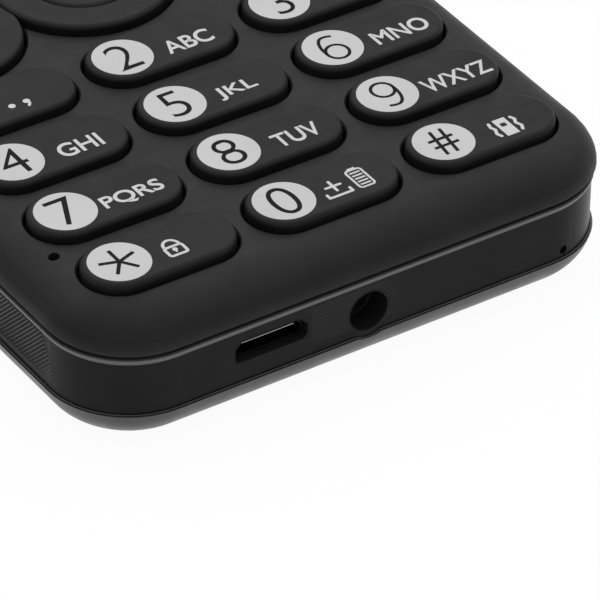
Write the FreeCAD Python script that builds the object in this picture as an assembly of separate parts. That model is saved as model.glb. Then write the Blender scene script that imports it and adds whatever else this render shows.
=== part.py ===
import FreeCAD, Part
import math
import os

# Bar keypad phone: front cover with sprung keys, ported mid frame and snap-off back cover.
# Millimetres. X is across the phone, Y runs along it with the port end at -Y, and Z is up
# from the surface that the back cover lies on to the tops of the keys.

Vector = FreeCAD.Vector
UP = Vector(0, 0, 1)
ALONG = Vector(0, 1, 0)

# ----------------------------------------------------------------------------
# Driving sizes
# ----------------------------------------------------------------------------

# Body outline, taken at the widest layer, the front cover
BODY_WIDTH = 58.8
BODY_LENGTH = 136.0
BODY_CORNER = 8.7

# Layers of the side wall, from the back up
BACK_SIDE = 3.9
SEAM_GAP = 0.1
BAND_HEIGHT = 6.3
SHADOW_GAP = 0.4
FRONT_SIDE = 4.0

# Front cover
FACE_THICKNESS = 1.6
FACE_EDGE_WIDTH = 4.4
FACE_EDGE_DEPTH = 3.7
FACE_EDGE_RADIUS = 2.4
FRONT_TUCK = 0.35
TONGUE_THICKNESS = 0.8
TONGUE_REACH = 0.9
OPENING_EDGE = 0.15
RIM_REACH = 7.0
RIM_OVERLAP = 1.0

# Mid frame
BAND_INSET = 0.4
BAND_WALL = 1.3
BEAD_STAND = 0.2
BEAD_HEIGHT = 0.6
FOOT_CHAMFER = 0.12
SKIRT_WIDTH = 1.2
SKIRT_CHAMFER = 0.4
SKIRT_DROP = 1.0
LEDGE_HEIGHT = 4.7
FLOOR_THICKNESS = 0.9

# Back cover
BACK_INSET = 0.1
BACK_WALL = 1.1
BACK_EDGE_RADIUS = 5.0
TAB_THICKNESS = 0.55
TAB_LENGTH = 6.4
TAB_RISE = 1.7
TAB_BITE = 0.3
TAB_SETBACK = 0.05
TAB_END = 25.0

# Clearances
FIT_GAP = 0.1
TONGUE_GAP = 0.1
KEY_GAP = 0.3
FLANGE_GAP = 0.05
WELL_GAP = 0.3
TRIM_GAP = 0.4

# Main board
BOARD_THICKNESS = 1.0
BOARD_EDGE_GAP = 0.15

# Number keys
KEY_MARGIN = 4.0
KEY_COLUMN_GAP = 2.15
KEY_HEIGHT = 7.15
KEY_ROW_GAP = 2.09
KEY_ROW_START = 8.38
KEY_PROUD = 0.9
KEY_EDGE = 0.5
KEY_TRAVEL = 0.4
FLANGE_WIDTH = 0.35
FLANGE_THICKNESS = 0.6
PLUNGER_RADIUS = 1.5
KEY_ROWS = (
    ("key_star", "key_0", "key_hash"),
    ("key_7", "key_8", "key_9"),
    ("key_4", "key_5", "key_6"),
    ("key_1", "key_2", "key_3"),
)

# Navigation disc and the keys beside it
NAV_RISE = 14.4
NAV_RADIUS = 9.2
NAV_DISH = 0.2
NAV_TILT_ROOM = 0.3
OK_RADIUS = 5.2
OK_SUNK = 0.3
OK_FLANGE_WIDTH = 0.6
OK_FLANGE_THICKNESS = 0.5
NAV_PAD_INNER = 6.2
NAV_PAD_OUTER = 8.3
NAV_PAD_THICKNESS = 1.5
FUNCTION_INNER = 8.8
CALL_DROP = 9.6
CALL_HEIGHT = 12.0
CALL_INNER_RADIUS = 7.6
CALL_OUTER_RADIUS = 5.0
SOFT_GAP = 1.8
SOFT_HEIGHT = 6.2
SOFT_SIDE = 0.2
FUNCTION_SMALL_RADIUS = 1.0

# Key mat and domes
DOME_SHEET_THICKNESS = 0.15
DOME_RADIUS = 2.5
DOME_CROWN = 1.6
DOME_HEIGHT = 0.25
DOME_ROOM = 0.5
MAT_SIDE = 6.4
MAT_FOOT = 4.6
MAT_RISE = 0.8

# Display
WINDOW_SIDE = 4.5
WINDOW_RISE = 4.8
WINDOW_HEAD = 10.2
WINDOW_THICKNESS = 0.9
WINDOW_RADIUS = 2.4
WINDOW_SUNK = 0.1
WINDOW_LEDGE = 1.8
WINDOW_EDGE = 0.15
LCD_SIDE = 4.9
LCD_REACH = 0.4
LCD_RADIUS = 0.5

# Earpiece
EARPIECE_HEAD = 6.3
EARPIECE_SLOT = 10.0
EARPIECE_SLOT_WIDTH = 1.6
EARPIECE_GRILLE_THICKNESS = 0.6
EARPIECE_GRILLE_SUNK = 0.2
EARPIECE_HOLE_RADIUS = 0.3
EARPIECE_HOLE_PITCH = 1.2
EARPIECE_HOLES = 7
EARPIECE_WIDTH = 12.0
EARPIECE_LENGTH = 5.4
EARPIECE_HEIGHT = 3.1

# Microphone
MIC_SIDE = 3.75
MIC_Y = 13.33
MIC_HOLE_RADIUS = 0.55
MIC_WIDTH = 2.3
MIC_LENGTH = 1.9
MIC_HEIGHT = 1.0
BOOT_RADIUS = 1.0

# Micro-USB port
USB_X = -10.6
USB_Z = 7.35
USB_SLOT_WIDTH = 7.9
USB_SLOT_HEIGHT = 2.4
USB_SLOT_BEVEL = 0.9
USB_SHELL_GAP = 0.15
USB_SHELL_WALL = 0.25
USB_SHELL_SUNK = 0.7
USB_SHELL_DEPTH = 5.2
USB_BACK_THICKNESS = 0.8
USB_TONGUE_WIDTH = 4.6
USB_TONGUE_HEIGHT = 0.6
USB_TONGUE_SUNK = 0.9

# Headphone jack
JACK_X = 0.0
JACK_Z = 6.5
JACK_HOLE_RADIUS = 2.05
JACK_LIP_RADIUS = 2.8
JACK_BORE_RADIUS = 1.8
JACK_BORE_DEPTH = 12.0
JACK_BODY_WIDTH = 6.2
JACK_BODY_DEPTH = 13.2
JACK_ROOM = 0.8

# Pry notch in the band, above the seam at one corner
NOTCH_X = 22.0
NOTCH_RISE = 0.8
NOTCH_RADIUS = 0.45
NOTCH_DEPTH = 0.6

# Battery, its well and what lies over it
BATTERY_SIDE = 12.4
BATTERY_LENGTH = 53.2
BATTERY_THICKNESS = 5.6
BATTERY_RADIUS = 1.5
BATTERY_EDGE = 0.5
BATTERY_LIFT = 0.35
WELL_WALL = 1.0
WELL_CEILING = 0.6
CEILING_GAP = 0.2
CONTACTS_WIDTH = 9.0
CONTACTS_DEPTH = 3.0
CONTACTS_HEIGHT = 3.6
CONTACTS_PASSAGE = 3.0
BLADE_COUNT = 3
BLADE_PITCH = 3.0
BLADE_WIDTH = 1.2
BLADE_HEIGHT = 1.2
BLADE_DROP = 1.6
BLADE_GAP = 0.15
SIM_WIDTH = 14.6
SIM_LENGTH = 14.0
SIM_X = 8.3
SIM_Y = 36.0
CARD_WIDTH = 13.0
CARD_LENGTH = 15.0
CARD_Y = 58.0
CARD_SLOT = 0.5
CARD_SLOT_LIP = 1.0
HOLDER_GAP = 0.2

# Screws and their bosses
SCREW_SHANK_RADIUS = 0.6
SCREW_HEAD_RADIUS = 1.1
SCREW_HEAD_HEIGHT = 0.85
SCREW_BITE = 3.0
SCREW_SEAT = 1.8
SCREW_GAP = 0.05
BOSS_RADIUS = 1.2
POST_RADIUS = 1.7
BOSS_SIDE = 4.4
BOSS_END = 4.0
BOSS_MIDDLE_SIDE = 3.5
BOSS_MIDDLE_RISE = 2.5
BOARD_NOTCH_GAP = 0.4

# Back of the phone: camera, flash, loudspeaker, motor, antenna and shields
CAMERA_X = 0.0
CAMERA_HEAD = 17.0
CAMERA_LENS_RADIUS = 3.6
CAMERA_SIZE = 8.0
CAMERA_LENS_RIM = 1.2
FLASH_X = 9.0
FLASH_RADIUS = 1.8
FLASH_RIM = 0.4
LENS_SUNK = 0.4
LENS_THICKNESS = 1.1
LENS_EDGE = 0.2
SPEAKER_X = -11.0
SPEAKER_HEAD = 38.0
SPEAKER_WIDTH = 15.0
SPEAKER_LENGTH = 11.0
SPEAKER_HEIGHT = 3.5
SPEAKER_RIM = 1.5
GRILLE_SLOTS = 5
GRILLE_PITCH = 1.7
GRILLE_SLOT_LENGTH = 9.0
GRILLE_SLOT_WIDTH = 0.8
MOTOR_X = -16.0
MOTOR_RADIUS = 4.0
MOTOR_HEIGHT = 2.7
ANTENNA_WIDTH = 36.0
ANTENNA_LENGTH = 5.0
ANTENNA_HEIGHT = 3.4
ANTENNA_HEAD = 5.8
SHIELD_HEIGHT = 2.0
SHIELD_RADIUS = 0.5
UPPER_SHIELD_WIDTH = 22.0
UPPER_SHIELD_SIDE = 16.4
UPPER_SHIELD_RISE = 6.1
UPPER_SHIELD_DROP = 7.0
LOWER_SHIELD_WIDTH = 14.0
LOWER_SHIELD_LENGTH = 10.0
LOWER_SHIELD_SIDE = 13.9
LOWER_SHIELD_FOOT = 7.0

# ----------------------------------------------------------------------------
# Sizes, places, heights and insets that follow from them
# ----------------------------------------------------------------------------

KEY_LENGTH = (BODY_WIDTH - 2 * KEY_MARGIN - 2 * KEY_COLUMN_GAP) / 3
KEY_PITCH_X = KEY_LENGTH + KEY_COLUMN_GAP
KEY_PITCH_Y = KEY_HEIGHT + KEY_ROW_GAP
NAV_CENTRE = KEY_ROW_START + (len(KEY_ROWS) - 1) * KEY_PITCH_Y + NAV_RISE
FUNCTION_OUTER = BODY_WIDTH / 2 - KEY_MARGIN
CALL_FOOT = NAV_CENTRE - CALL_DROP
CALL_TOP = CALL_FOOT + CALL_HEIGHT
SOFT_FOOT = CALL_TOP + SOFT_GAP
SOFT_TOP = SOFT_FOOT + SOFT_HEIGHT
SOFT_RADIUS = (SOFT_HEIGHT - SOFT_SIDE) / 2
MAT_TOP = SOFT_TOP + MAT_RISE

WINDOW_WIDTH = BODY_WIDTH - 2 * WINDOW_SIDE
WINDOW_FOOT = SOFT_TOP + WINDOW_RISE
WINDOW_LENGTH = BODY_LENGTH - WINDOW_HEAD - WINDOW_FOOT
WINDOW_CENTRE = WINDOW_FOOT + WINDOW_LENGTH / 2
BATTERY_WIDTH = BODY_WIDTH - 2 * BATTERY_SIDE
TAB_PLACES = (TAB_END, BODY_LENGTH / 2, BODY_LENGTH - TAB_END)
MIC_X = MIC_SIDE - BODY_WIDTH / 2
CAMERA_Y = BODY_LENGTH - CAMERA_HEAD
EARPIECE_CENTRE = BODY_LENGTH - EARPIECE_HEAD
ANTENNA_Y = BODY_LENGTH - ANTENNA_HEAD
SPEAKER_Y = BODY_LENGTH - SPEAKER_HEAD

BAND_FOOT = BACK_SIDE + SEAM_GAP
BAND_TOP = BAND_FOOT + BAND_HEIGHT
FRONT_FOOT = BAND_TOP + SHADOW_GAP
FACE = FRONT_FOOT + FRONT_SIDE
FACE_UNDER = FACE - FACE_THICKNESS
KEY_TOP = FACE + KEY_PROUD

SKIRT_INSET = BAND_INSET + BAND_WALL
SKIRT_INNER = SKIRT_INSET + SKIRT_WIDTH
SKIRT_FOOT = BAND_FOOT - SKIRT_DROP
FLOOR_TOP = SKIRT_FOOT + FLOOR_THICKNESS
LEDGE = BAND_FOOT + LEDGE_HEIGHT

TONGUE_OUTER = SKIRT_INSET + TONGUE_GAP
TONGUE_INNER = TONGUE_OUTER + TONGUE_THICKNESS
TONGUE_FOOT = FRONT_FOOT - TONGUE_REACH

BACK_DROP = BACK_EDGE_RADIUS - BACK_SIDE
BACK_INNER_RADIUS = BACK_EDGE_RADIUS - BACK_WALL
BACK_FLAT = BACK_INSET + math.sqrt(BACK_EDGE_RADIUS ** 2 - BACK_DROP ** 2)
BACK_INNER = BACK_FLAT - math.sqrt(BACK_INNER_RADIUS ** 2 - BACK_DROP ** 2)
TAB_OUTER = BACK_INNER + TAB_SETBACK
TAB_INNER = TAB_OUTER + TAB_THICKNESS
TAB_FOOT = BACK_EDGE_RADIUS - math.sqrt(BACK_INNER_RADIUS ** 2 - (BACK_FLAT - TAB_INNER) ** 2) - TAB_BITE
BOARD_TOP = LEDGE + BOARD_THICKNESS
DOME_BASE = BOARD_TOP + DOME_SHEET_THICKNESS
DOME_TOP = DOME_BASE + DOME_HEIGHT
PLUNGER_FOOT = DOME_TOP + KEY_TRAVEL + FLANGE_GAP
FLANGE_TOP = FACE_UNDER - FLANGE_GAP
FLANGE_FOOT = FLANGE_TOP - FLANGE_THICKNESS
MAT_SURFACE = FLANGE_FOOT - KEY_TRAVEL - FIT_GAP

NAV_FLANGE_TOP = FACE_UNDER - NAV_TILT_ROOM
NAV_FLANGE_FOOT = NAV_FLANGE_TOP - FLANGE_THICKNESS
NAV_OPENING = NAV_RADIUS + KEY_GAP
NAV_FLANGE_RADIUS = NAV_RADIUS + FLANGE_WIDTH
NAV_PAD_TOP = NAV_FLANGE_FOOT - NAV_TILT_ROOM

SOCKET_START = SKIRT_INNER + FIT_GAP
CONTACTS_BACK = SOCKET_START + JACK_BODY_DEPTH + JACK_ROOM + CONTACTS_DEPTH
WELL_START = CONTACTS_BACK + FIT_GAP
BATTERY_START = WELL_START + WELL_WALL + WELL_GAP
BATTERY_CENTRE = BATTERY_START + BATTERY_LENGTH / 2
WELL_END = BATTERY_START + BATTERY_LENGTH + WELL_GAP + WELL_WALL
UPPER_SHIELD_FOOT = WELL_END + UPPER_SHIELD_RISE
UPPER_SHIELD_TOP = CAMERA_Y - CAMERA_SIZE / 2 - UPPER_SHIELD_DROP

BATTERY_FOOT = BACK_WALL + BATTERY_LIFT
BATTERY_TOP = BATTERY_FOOT + BATTERY_THICKNESS
CEILING = BATTERY_TOP + CEILING_GAP
CEILING_TOP = CEILING + WELL_CEILING
SCREW_SEAT_Z = SKIRT_FOOT + SCREW_SEAT


# ----------------------------------------------------------------------------
# Shapes that the pieces are made of
# ----------------------------------------------------------------------------

def from_end(distance):
    """Y of a point this far up the phone from the port end."""
    return distance - BODY_LENGTH / 2


def cornered_plate(low_x, high_x, low_y, high_y, radii, foot, top):
    """Upright plate with its own radius at each corner, counted from low X, low Y."""
    corners = [(low_x, low_y, 1, 1), (high_x, low_y, -1, 1),
               (high_x, high_y, -1, -1), (low_x, high_y, 1, -1)]
    arcs = []
    for turn, ((x, y, inward_x, inward_y), radius) in enumerate(zip(corners, radii)):
        centre = Vector(x + inward_x * radius, y + inward_y * radius, foot)
        start = math.pi + turn * math.pi / 2
        arcs.append(Part.Arc(Part.Circle(centre, UP, radius), start, start + math.pi / 2).toShape())
    edges = []
    for arc, following in zip(arcs, arcs[1:] + arcs[:1]):
        edges.append(arc)
        tail = arc.Vertexes[-1].Point
        head = following.Vertexes[0].Point
        if tail.distanceToPoint(head) > 1e-6:
            edges.append(Part.LineSegment(tail, head).toShape())
    return Part.Face(Part.Wire(edges)).extrude(UP * (top - foot))


def rounded_plate(width, length, radius, x, y, foot, top):
    """Upright plate with four equal corners, centred on x and y."""
    return cornered_plate(x - width / 2, x + width / 2, y - length / 2, y + length / 2,
                          (radius,) * 4, foot, top)


def body_plate(inset, foot, top):
    """Plate with the body's outline, drawn in by inset."""
    return rounded_plate(BODY_WIDTH - 2 * inset, BODY_LENGTH - 2 * inset,
                         BODY_CORNER - inset, 0, 0, foot, top)


def stadium(length, height, x, y, foot, top):
    """Plate with half-round ends."""
    return rounded_plate(length, height, height / 2, x, y, foot, top)


def block(width, length, x, y, foot, top):
    """Square-cornered block, centred on x and y."""
    return Part.makeBox(width, length, top - foot, Vector(x - width / 2, y - length / 2, foot))


def post(radius, x, y, foot, top):
    """Upright cylinder."""
    return Part.makeCylinder(radius, top - foot, Vector(x, y, foot))


def bar(radius, x, z, start, length):
    """Cylinder that runs along the phone from the Y given by start."""
    return Part.makeCylinder(radius, length, Vector(x, start, z), ALONG)


def turned(profile, x, y):
    """Solid turned from a closed chain of (radius, height) points, some joined by arcs.

    A point with a third member closes an arc that passes through the point it names.
    """
    edges = []
    for point, following in zip(profile, profile[1:] + profile[:1]):
        start = Vector(x + point[0], y, point[1])
        end = Vector(x + following[0], y, following[1])
        if len(following) == 3:
            through = Vector(x + following[2][0], y, following[2][1])
            edges.append(Part.Arc(start, through, end).toShape())
        else:
            edges.append(Part.LineSegment(start, end).toShape())
    face = Part.Face(Part.Wire(edges))
    return face.revolve(Vector(x, y, 0), UP, 360)


def edge_arc(centre, radius, side):
    """Middle point of an upper quarter arc in a profile, outward for side 1 and inward for -1."""
    slant = radius * math.sqrt(0.5)
    return (centre[0] + side * slant, centre[1] + slant)


def place(inward, height):
    """Point of a rim section, seen from the centre of the body's corner.

    inward is the distance in from the body's outline.
    """
    return Vector(0, inward - BODY_CORNER, height)


def lines(points):
    """Straight edges through a chain of (inward, height) points."""
    corners = [place(*point) for point in points]
    return [Part.LineSegment(a, b).toShape() for a, b in zip(corners, corners[1:])]


def carried_round(section):
    """Closed rim that carries a section round the body: turned at the corners, straight between."""
    profile = Part.Face(Part.Wire(Part.__sortEdges__(section)))
    half_x = BODY_WIDTH / 2 - BODY_CORNER
    half_y = BODY_LENGTH / 2 - BODY_CORNER
    corners = ((half_x, -half_y), (half_x, half_y), (-half_x, half_y), (-half_x, -half_y))
    pieces = []
    for turn, (x, y) in enumerate(corners):
        run = 2 * (half_y if turn % 2 else half_x)
        for piece in (profile.revolve(Vector(), UP, 90), profile.extrude(Vector(-run, 0, 0))):
            piece.rotate(Vector(), UP, 90 * turn)
            piece.translate(Vector(x, y, 0))
            pieces.append(piece)
    return joined(pieces[0], pieces[1:])


def joined(first, others):
    """One solid from pieces that run into each other."""
    return first.fuse(others).removeSplitter().Solids[0]


def softened(solid, radius, height):
    """Solid with the edges that lie at this height rounded."""
    edges = [edge for edge in solid.Edges
             if all(abs(vertex.Z - height) < 1e-6 for vertex in edge.Vertexes)]
    return solid.makeFillet(radius, edges)


# ----------------------------------------------------------------------------
# Places
# ----------------------------------------------------------------------------

def number_key_places():
    """Name and centre of each number key."""
    places = {}
    for row, names in enumerate(KEY_ROWS):
        for column, name in enumerate(names):
            x = (column - 1) * KEY_PITCH_X
            places[name] = (x, from_end(KEY_ROW_START + row * KEY_PITCH_Y))
    return places


def dome_places():
    """Centre of the dome under each key, the disc's four sides and the OK key."""
    nav_y = from_end(NAV_CENTRE)
    reach = (NAV_PAD_INNER + NAV_PAD_OUTER) / 2
    function_x = (FUNCTION_OUTER + FUNCTION_INNER) / 2
    call_y = from_end((CALL_FOOT + CALL_TOP) / 2)
    soft_y = from_end((SOFT_FOOT + SOFT_TOP) / 2)
    places = list(number_key_places().values())
    places += [(0, nav_y), (reach, nav_y), (-reach, nav_y), (0, nav_y + reach), (0, nav_y - reach)]
    places += [(side * function_x, y) for side in (-1, 1) for y in (call_y, soft_y)]
    return places


def screw_places():
    """Centre of each of the six housing screws."""
    end_x = BODY_WIDTH / 2 - BOSS_SIDE
    end_y = BODY_LENGTH / 2 - BOSS_END
    middle_x = BODY_WIDTH / 2 - BOSS_MIDDLE_SIDE
    places = [(x, y) for x in (-end_x, end_x) for y in (-end_y, end_y)]
    places += [(x, from_end(SOFT_TOP + BOSS_MIDDLE_RISE)) for x in (-middle_x, middle_x)]
    return places


# ----------------------------------------------------------------------------
# Case
# ----------------------------------------------------------------------------

def front_section():
    """Rolled edge of the front cover and the tongue that drops inside the mid frame.

    The roll is a tight arc off the side that runs into a wide one onto the face.
    """
    widest = FACE - FACE_EDGE_DEPTH
    tight = FACE_EDGE_RADIUS
    wide = ((FACE_EDGE_WIDTH - tight) ** 2 / (FACE_EDGE_DEPTH - tight) + FACE_EDGE_DEPTH + tight) / 2
    meet = math.pi / 2 - math.asin((FACE_EDGE_WIDTH - tight) / (wide - tight))

    def on_arc(centre, radius, angle):
        return place(centre[0] - radius * math.cos(angle), centre[1] + radius * math.sin(angle))

    tight_centre = (tight, widest)
    wide_centre = (FACE_EDGE_WIDTH, FACE - wide)
    side_arc = Part.Arc(place(0, widest), on_arc(tight_centre, tight, meet / 2),
                        on_arc(tight_centre, tight, meet)).toShape()
    face_arc = Part.Arc(on_arc(wide_centre, wide, meet),
                        on_arc(wide_centre, wide, (meet + math.pi / 2) / 2),
                        place(FACE_EDGE_WIDTH, FACE)).toShape()
    tuck = Part.Arc(place(FRONT_TUCK, FRONT_FOOT),
                    place(FRONT_TUCK * 0.25, (FRONT_FOOT + widest) / 2),
                    place(0, widest)).toShape()
    chain = [(FACE_EDGE_WIDTH, FACE), (RIM_REACH, FACE), (RIM_REACH, FACE_UNDER),
             (TONGUE_INNER, FACE_UNDER), (TONGUE_INNER, TONGUE_FOOT), (TONGUE_OUTER, TONGUE_FOOT),
             (TONGUE_OUTER, FRONT_FOOT), (FRONT_TUCK, FRONT_FOOT)]
    return [tuck, side_arc, face_arc] + lines(chain)


def function_outline(side, foot, top, radii, grow, low, high):
    """Plate of a key beside the disc. side is -1 or 1, radii run inner foot to outer foot."""
    inner_foot, inner_top, outer_top, outer_foot = [radius + grow for radius in radii]
    near = FUNCTION_INNER - grow
    far = FUNCTION_OUTER + grow
    if side > 0:
        return cornered_plate(near, far, from_end(foot) - grow, from_end(top) + grow,
                              (inner_foot, outer_foot, outer_top, inner_top), low, high)
    return cornered_plate(-far, -near, from_end(foot) - grow, from_end(top) + grow,
                          (outer_foot, inner_foot, inner_top, outer_top), low, high)


FUNCTION_KEYS = {
    "call_key": (-1, CALL_FOOT, CALL_TOP,
                 (CALL_INNER_RADIUS, FUNCTION_SMALL_RADIUS, FUNCTION_SMALL_RADIUS, CALL_OUTER_RADIUS)),
    "end_key": (1, CALL_FOOT, CALL_TOP,
                (CALL_INNER_RADIUS, FUNCTION_SMALL_RADIUS, FUNCTION_SMALL_RADIUS, CALL_OUTER_RADIUS)),
    "left_soft_key": (-1, SOFT_FOOT, SOFT_TOP,
                      (FUNCTION_SMALL_RADIUS, SOFT_RADIUS, SOFT_RADIUS, FUNCTION_SMALL_RADIUS)),
    "right_soft_key": (1, SOFT_FOOT, SOFT_TOP,
                       (FUNCTION_SMALL_RADIUS, SOFT_RADIUS, SOFT_RADIUS, FUNCTION_SMALL_RADIUS)),
}


def window_plate(grow, foot, top):
    """Plate of the display window's outline."""
    return rounded_plate(WINDOW_WIDTH + 2 * grow, WINDOW_LENGTH + 2 * grow, WINDOW_RADIUS + grow,
                         0, from_end(WINDOW_CENTRE), foot, top)


def earpiece_plate(grow, foot, top):
    """Plate of the earpiece slot's outline."""
    return stadium(EARPIECE_SLOT + 2 * grow, EARPIECE_SLOT_WIDTH + 2 * grow,
                   0, from_end(EARPIECE_CENTRE), foot, top)


def face_openings(grow, low):
    """Cutters for the holes that the keys and the earpiece grille stand in, widened by grow."""
    high = FACE + 1
    gap = KEY_GAP + grow
    cutters = [stadium(KEY_LENGTH + 2 * gap, KEY_HEIGHT + 2 * gap, x, y, low, high)
               for x, y in number_key_places().values()]
    cutters += [function_outline(side, foot, top, radii, gap, low, high)
                for side, foot, top, radii in FUNCTION_KEYS.values()]
    cutters.append(post(NAV_OPENING + grow, 0, from_end(NAV_CENTRE), low, high))
    cutters.append(earpiece_plate(grow, low, high))
    return cutters


def bevel_cutters():
    """Cutters that bevel the upper edge of each hole in the face."""
    foot = FACE - OPENING_EDGE
    cutters = []
    for plate in face_openings(OPENING_EDGE, foot):
        edges = [edge for edge in plate.Edges
                 if all(abs(vertex.Z - foot) < 1e-6 for vertex in edge.Vertexes)]
        cutters.append(plate.makeChamfer(OPENING_EDGE, edges))
    return cutters


def make_front_cover():
    face = body_plate(RIM_REACH - RIM_OVERLAP, FACE_UNDER, FACE)
    cover = joined(carried_round(front_section()), [face])
    cover = cover.cut(face_openings(0, FACE_UNDER - 1)).cut(bevel_cutters())
    bosses = [post(BOSS_RADIUS, x, y, LEDGE, FACE_UNDER) for x, y in screw_places()]
    inside = body_plate(TONGUE_OUTER, LEDGE, FACE_UNDER)
    cover = joined(cover, [boss.common(inside) for boss in bosses])
    window_floor = FACE - WINDOW_SUNK - WINDOW_THICKNESS
    cutters = [window_plate(FIT_GAP, window_floor, FACE + 1),
               window_plate(-WINDOW_LEDGE, FACE_UNDER - 1, FACE),
               post(MIC_HOLE_RADIUS, MIC_X, from_end(MIC_Y), FACE_UNDER - 1, FACE + 1)]
    cutters += [post(SCREW_SHANK_RADIUS + SCREW_GAP, x, y, LEDGE - 1, LEDGE + SCREW_BITE + SCREW_GAP)
                for x, y in screw_places()]
    return cover.cut(cutters)


def frame_section():
    """Band with its bead, the skirt inside it and the ledge that the main board lies on."""
    bead_foot = BAND_TOP - BEAD_HEIGHT
    bead = Part.Arc(place(BAND_INSET, bead_foot),
                    place(BAND_INSET - BEAD_STAND, bead_foot + BEAD_HEIGHT / 2),
                    place(BAND_INSET, BAND_TOP)).toShape()
    chain = [(BAND_INSET, BAND_TOP), (SKIRT_INSET, BAND_TOP), (SKIRT_INSET, LEDGE),
             (SKIRT_INNER, LEDGE), (SKIRT_INNER, SKIRT_FOOT),
             (SKIRT_INSET + SKIRT_CHAMFER, SKIRT_FOOT), (SKIRT_INSET, SKIRT_FOOT + SKIRT_CHAMFER),
             (SKIRT_INSET, BAND_FOOT), (BAND_INSET + FOOT_CHAMFER, BAND_FOOT),
             (BAND_INSET, BAND_FOOT + FOOT_CHAMFER), (BAND_INSET, bead_foot)]
    return [bead] + lines(chain)


def usb_prism(shrink, start, depth):
    """Prism of the micro-USB outline, wide at the foot and bevelled above, running up the phone."""
    half = USB_SLOT_WIDTH / 2 - shrink
    low = USB_Z - USB_SLOT_HEIGHT / 2 + shrink
    high = USB_Z + USB_SLOT_HEIGHT / 2 - shrink
    bevel = USB_SLOT_BEVEL - shrink * (2 - math.sqrt(2))
    points = [(-half, low), (half, low), (half, high - bevel), (half - bevel, high),
              (bevel - half, high), (-half, high - bevel)]
    corners = [Vector(USB_X + x, start, z) for x, z in points]
    face = Part.Face(Part.makePolygon(corners + corners[:1]))
    return face.extrude(ALONG * depth)


def well_plate(grow, foot, top):
    """Plate of the battery well's outline."""
    width = BATTERY_WIDTH + 2 * (WELL_GAP + grow)
    length = BATTERY_LENGTH + 2 * (WELL_GAP + grow)
    return rounded_plate(width, length, BATTERY_RADIUS + WELL_GAP, 0, from_end(BATTERY_CENTRE),
                         foot, top)


def holder_places():
    """Name, centre and size of each card holder in the well's ceiling."""
    return {
        "sim_holder_1": (-SIM_X, from_end(SIM_Y), SIM_WIDTH, SIM_LENGTH),
        "sim_holder_2": (SIM_X, from_end(SIM_Y), SIM_WIDTH, SIM_LENGTH),
        "memory_card_holder": (0, from_end(CARD_Y), CARD_WIDTH, CARD_LENGTH),
    }


def tab_cutters():
    """Slots in the skirt and band for the back cover's tabs."""
    inner = TAB_INNER + FIT_GAP
    outer = TAB_OUTER - FIT_GAP
    top = BAND_FOOT + TAB_RISE + WELL_GAP
    length = TAB_LENGTH + 2 * WELL_GAP
    middle = BODY_WIDTH / 2 - (inner + outer) / 2
    return [block(inner - outer, length, side * middle, from_end(y), SKIRT_FOOT - 1, top)
            for side in (-1, 1) for y in TAB_PLACES]


def speaker_plate(width, length, foot, top):
    """Square plate centred on the loudspeaker."""
    return block(width, length, SPEAKER_X, from_end(SPEAKER_Y), foot, top)


def make_mid_frame():
    rim = carried_round(frame_section())
    floor = body_plate(SKIRT_INNER - FIT_GAP, SKIRT_FOOT, FLOOR_TOP)
    well = well_plate(WELL_WALL, SKIRT_FOOT, CEILING_TOP)
    inside = body_plate(SKIRT_INSET + SKIRT_CHAMFER, SKIRT_FOOT, LEDGE)
    posts = [post(POST_RADIUS, x, y, SKIRT_FOOT, LEDGE).common(inside) for x, y in screw_places()]
    wall_front = from_end(BAND_INSET)
    lip = bar(JACK_LIP_RADIUS, JACK_X, JACK_Z, wall_front, BAND_WALL / 2)
    seats = [post(radius, x, from_end(CAMERA_Y), LENS_SUNK + LENS_THICKNESS, SKIRT_FOOT)
             for radius, x in ((CAMERA_LENS_RADIUS, CAMERA_X), (FLASH_RADIUS, FLASH_X))]
    frame = joined(rim, [floor, well, lip] + seats + posts)
    back_y = from_end(SKIRT_INNER)
    reach = SKIRT_INNER + 1
    cutters = [well_plate(0, SKIRT_FOOT - 1, CEILING),
               usb_prism(0, back_y - reach, reach + FIT_GAP),
               bar(JACK_HOLE_RADIUS, JACK_X, JACK_Z, back_y - reach, reach + FIT_GAP),
               bar(NOTCH_RADIUS, NOTCH_X, BAND_FOOT + NOTCH_RISE, wall_front - 1, 1 + NOTCH_DEPTH),
               block(CONTACTS_WIDTH + 2 * FIT_GAP, CONTACTS_PASSAGE, 0, from_end(WELL_START),
                     FLOOR_TOP, CEILING),
               post(CAMERA_LENS_RADIUS - CAMERA_LENS_RIM, CAMERA_X, from_end(CAMERA_Y), 0, FLOOR_TOP + 1),
               post(FLASH_RADIUS - FLASH_RIM, FLASH_X, from_end(CAMERA_Y), 0, FLOOR_TOP + 1),
               speaker_plate(SPEAKER_WIDTH - 2 * SPEAKER_RIM, SPEAKER_LENGTH - 2 * SPEAKER_RIM,
                             SKIRT_FOOT - 1, FLOOR_TOP + 1)]
    cutters += [block(width + 2 * HOLDER_GAP, length + 2 * HOLDER_GAP, x, y, CEILING - 1, CEILING_TOP + 1)
                for x, y, width, length in holder_places().values()]
    for x, y in screw_places():
        cutters.append(post(SCREW_SHANK_RADIUS + SCREW_GAP, x, y, SKIRT_FOOT - 1, LEDGE + 1))
        cutters.append(post(SCREW_HEAD_RADIUS + FIT_GAP, x, y, SKIRT_FOOT - 1, SCREW_SEAT_Z))
    return frame.cut(cutters + tab_cutters())


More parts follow.
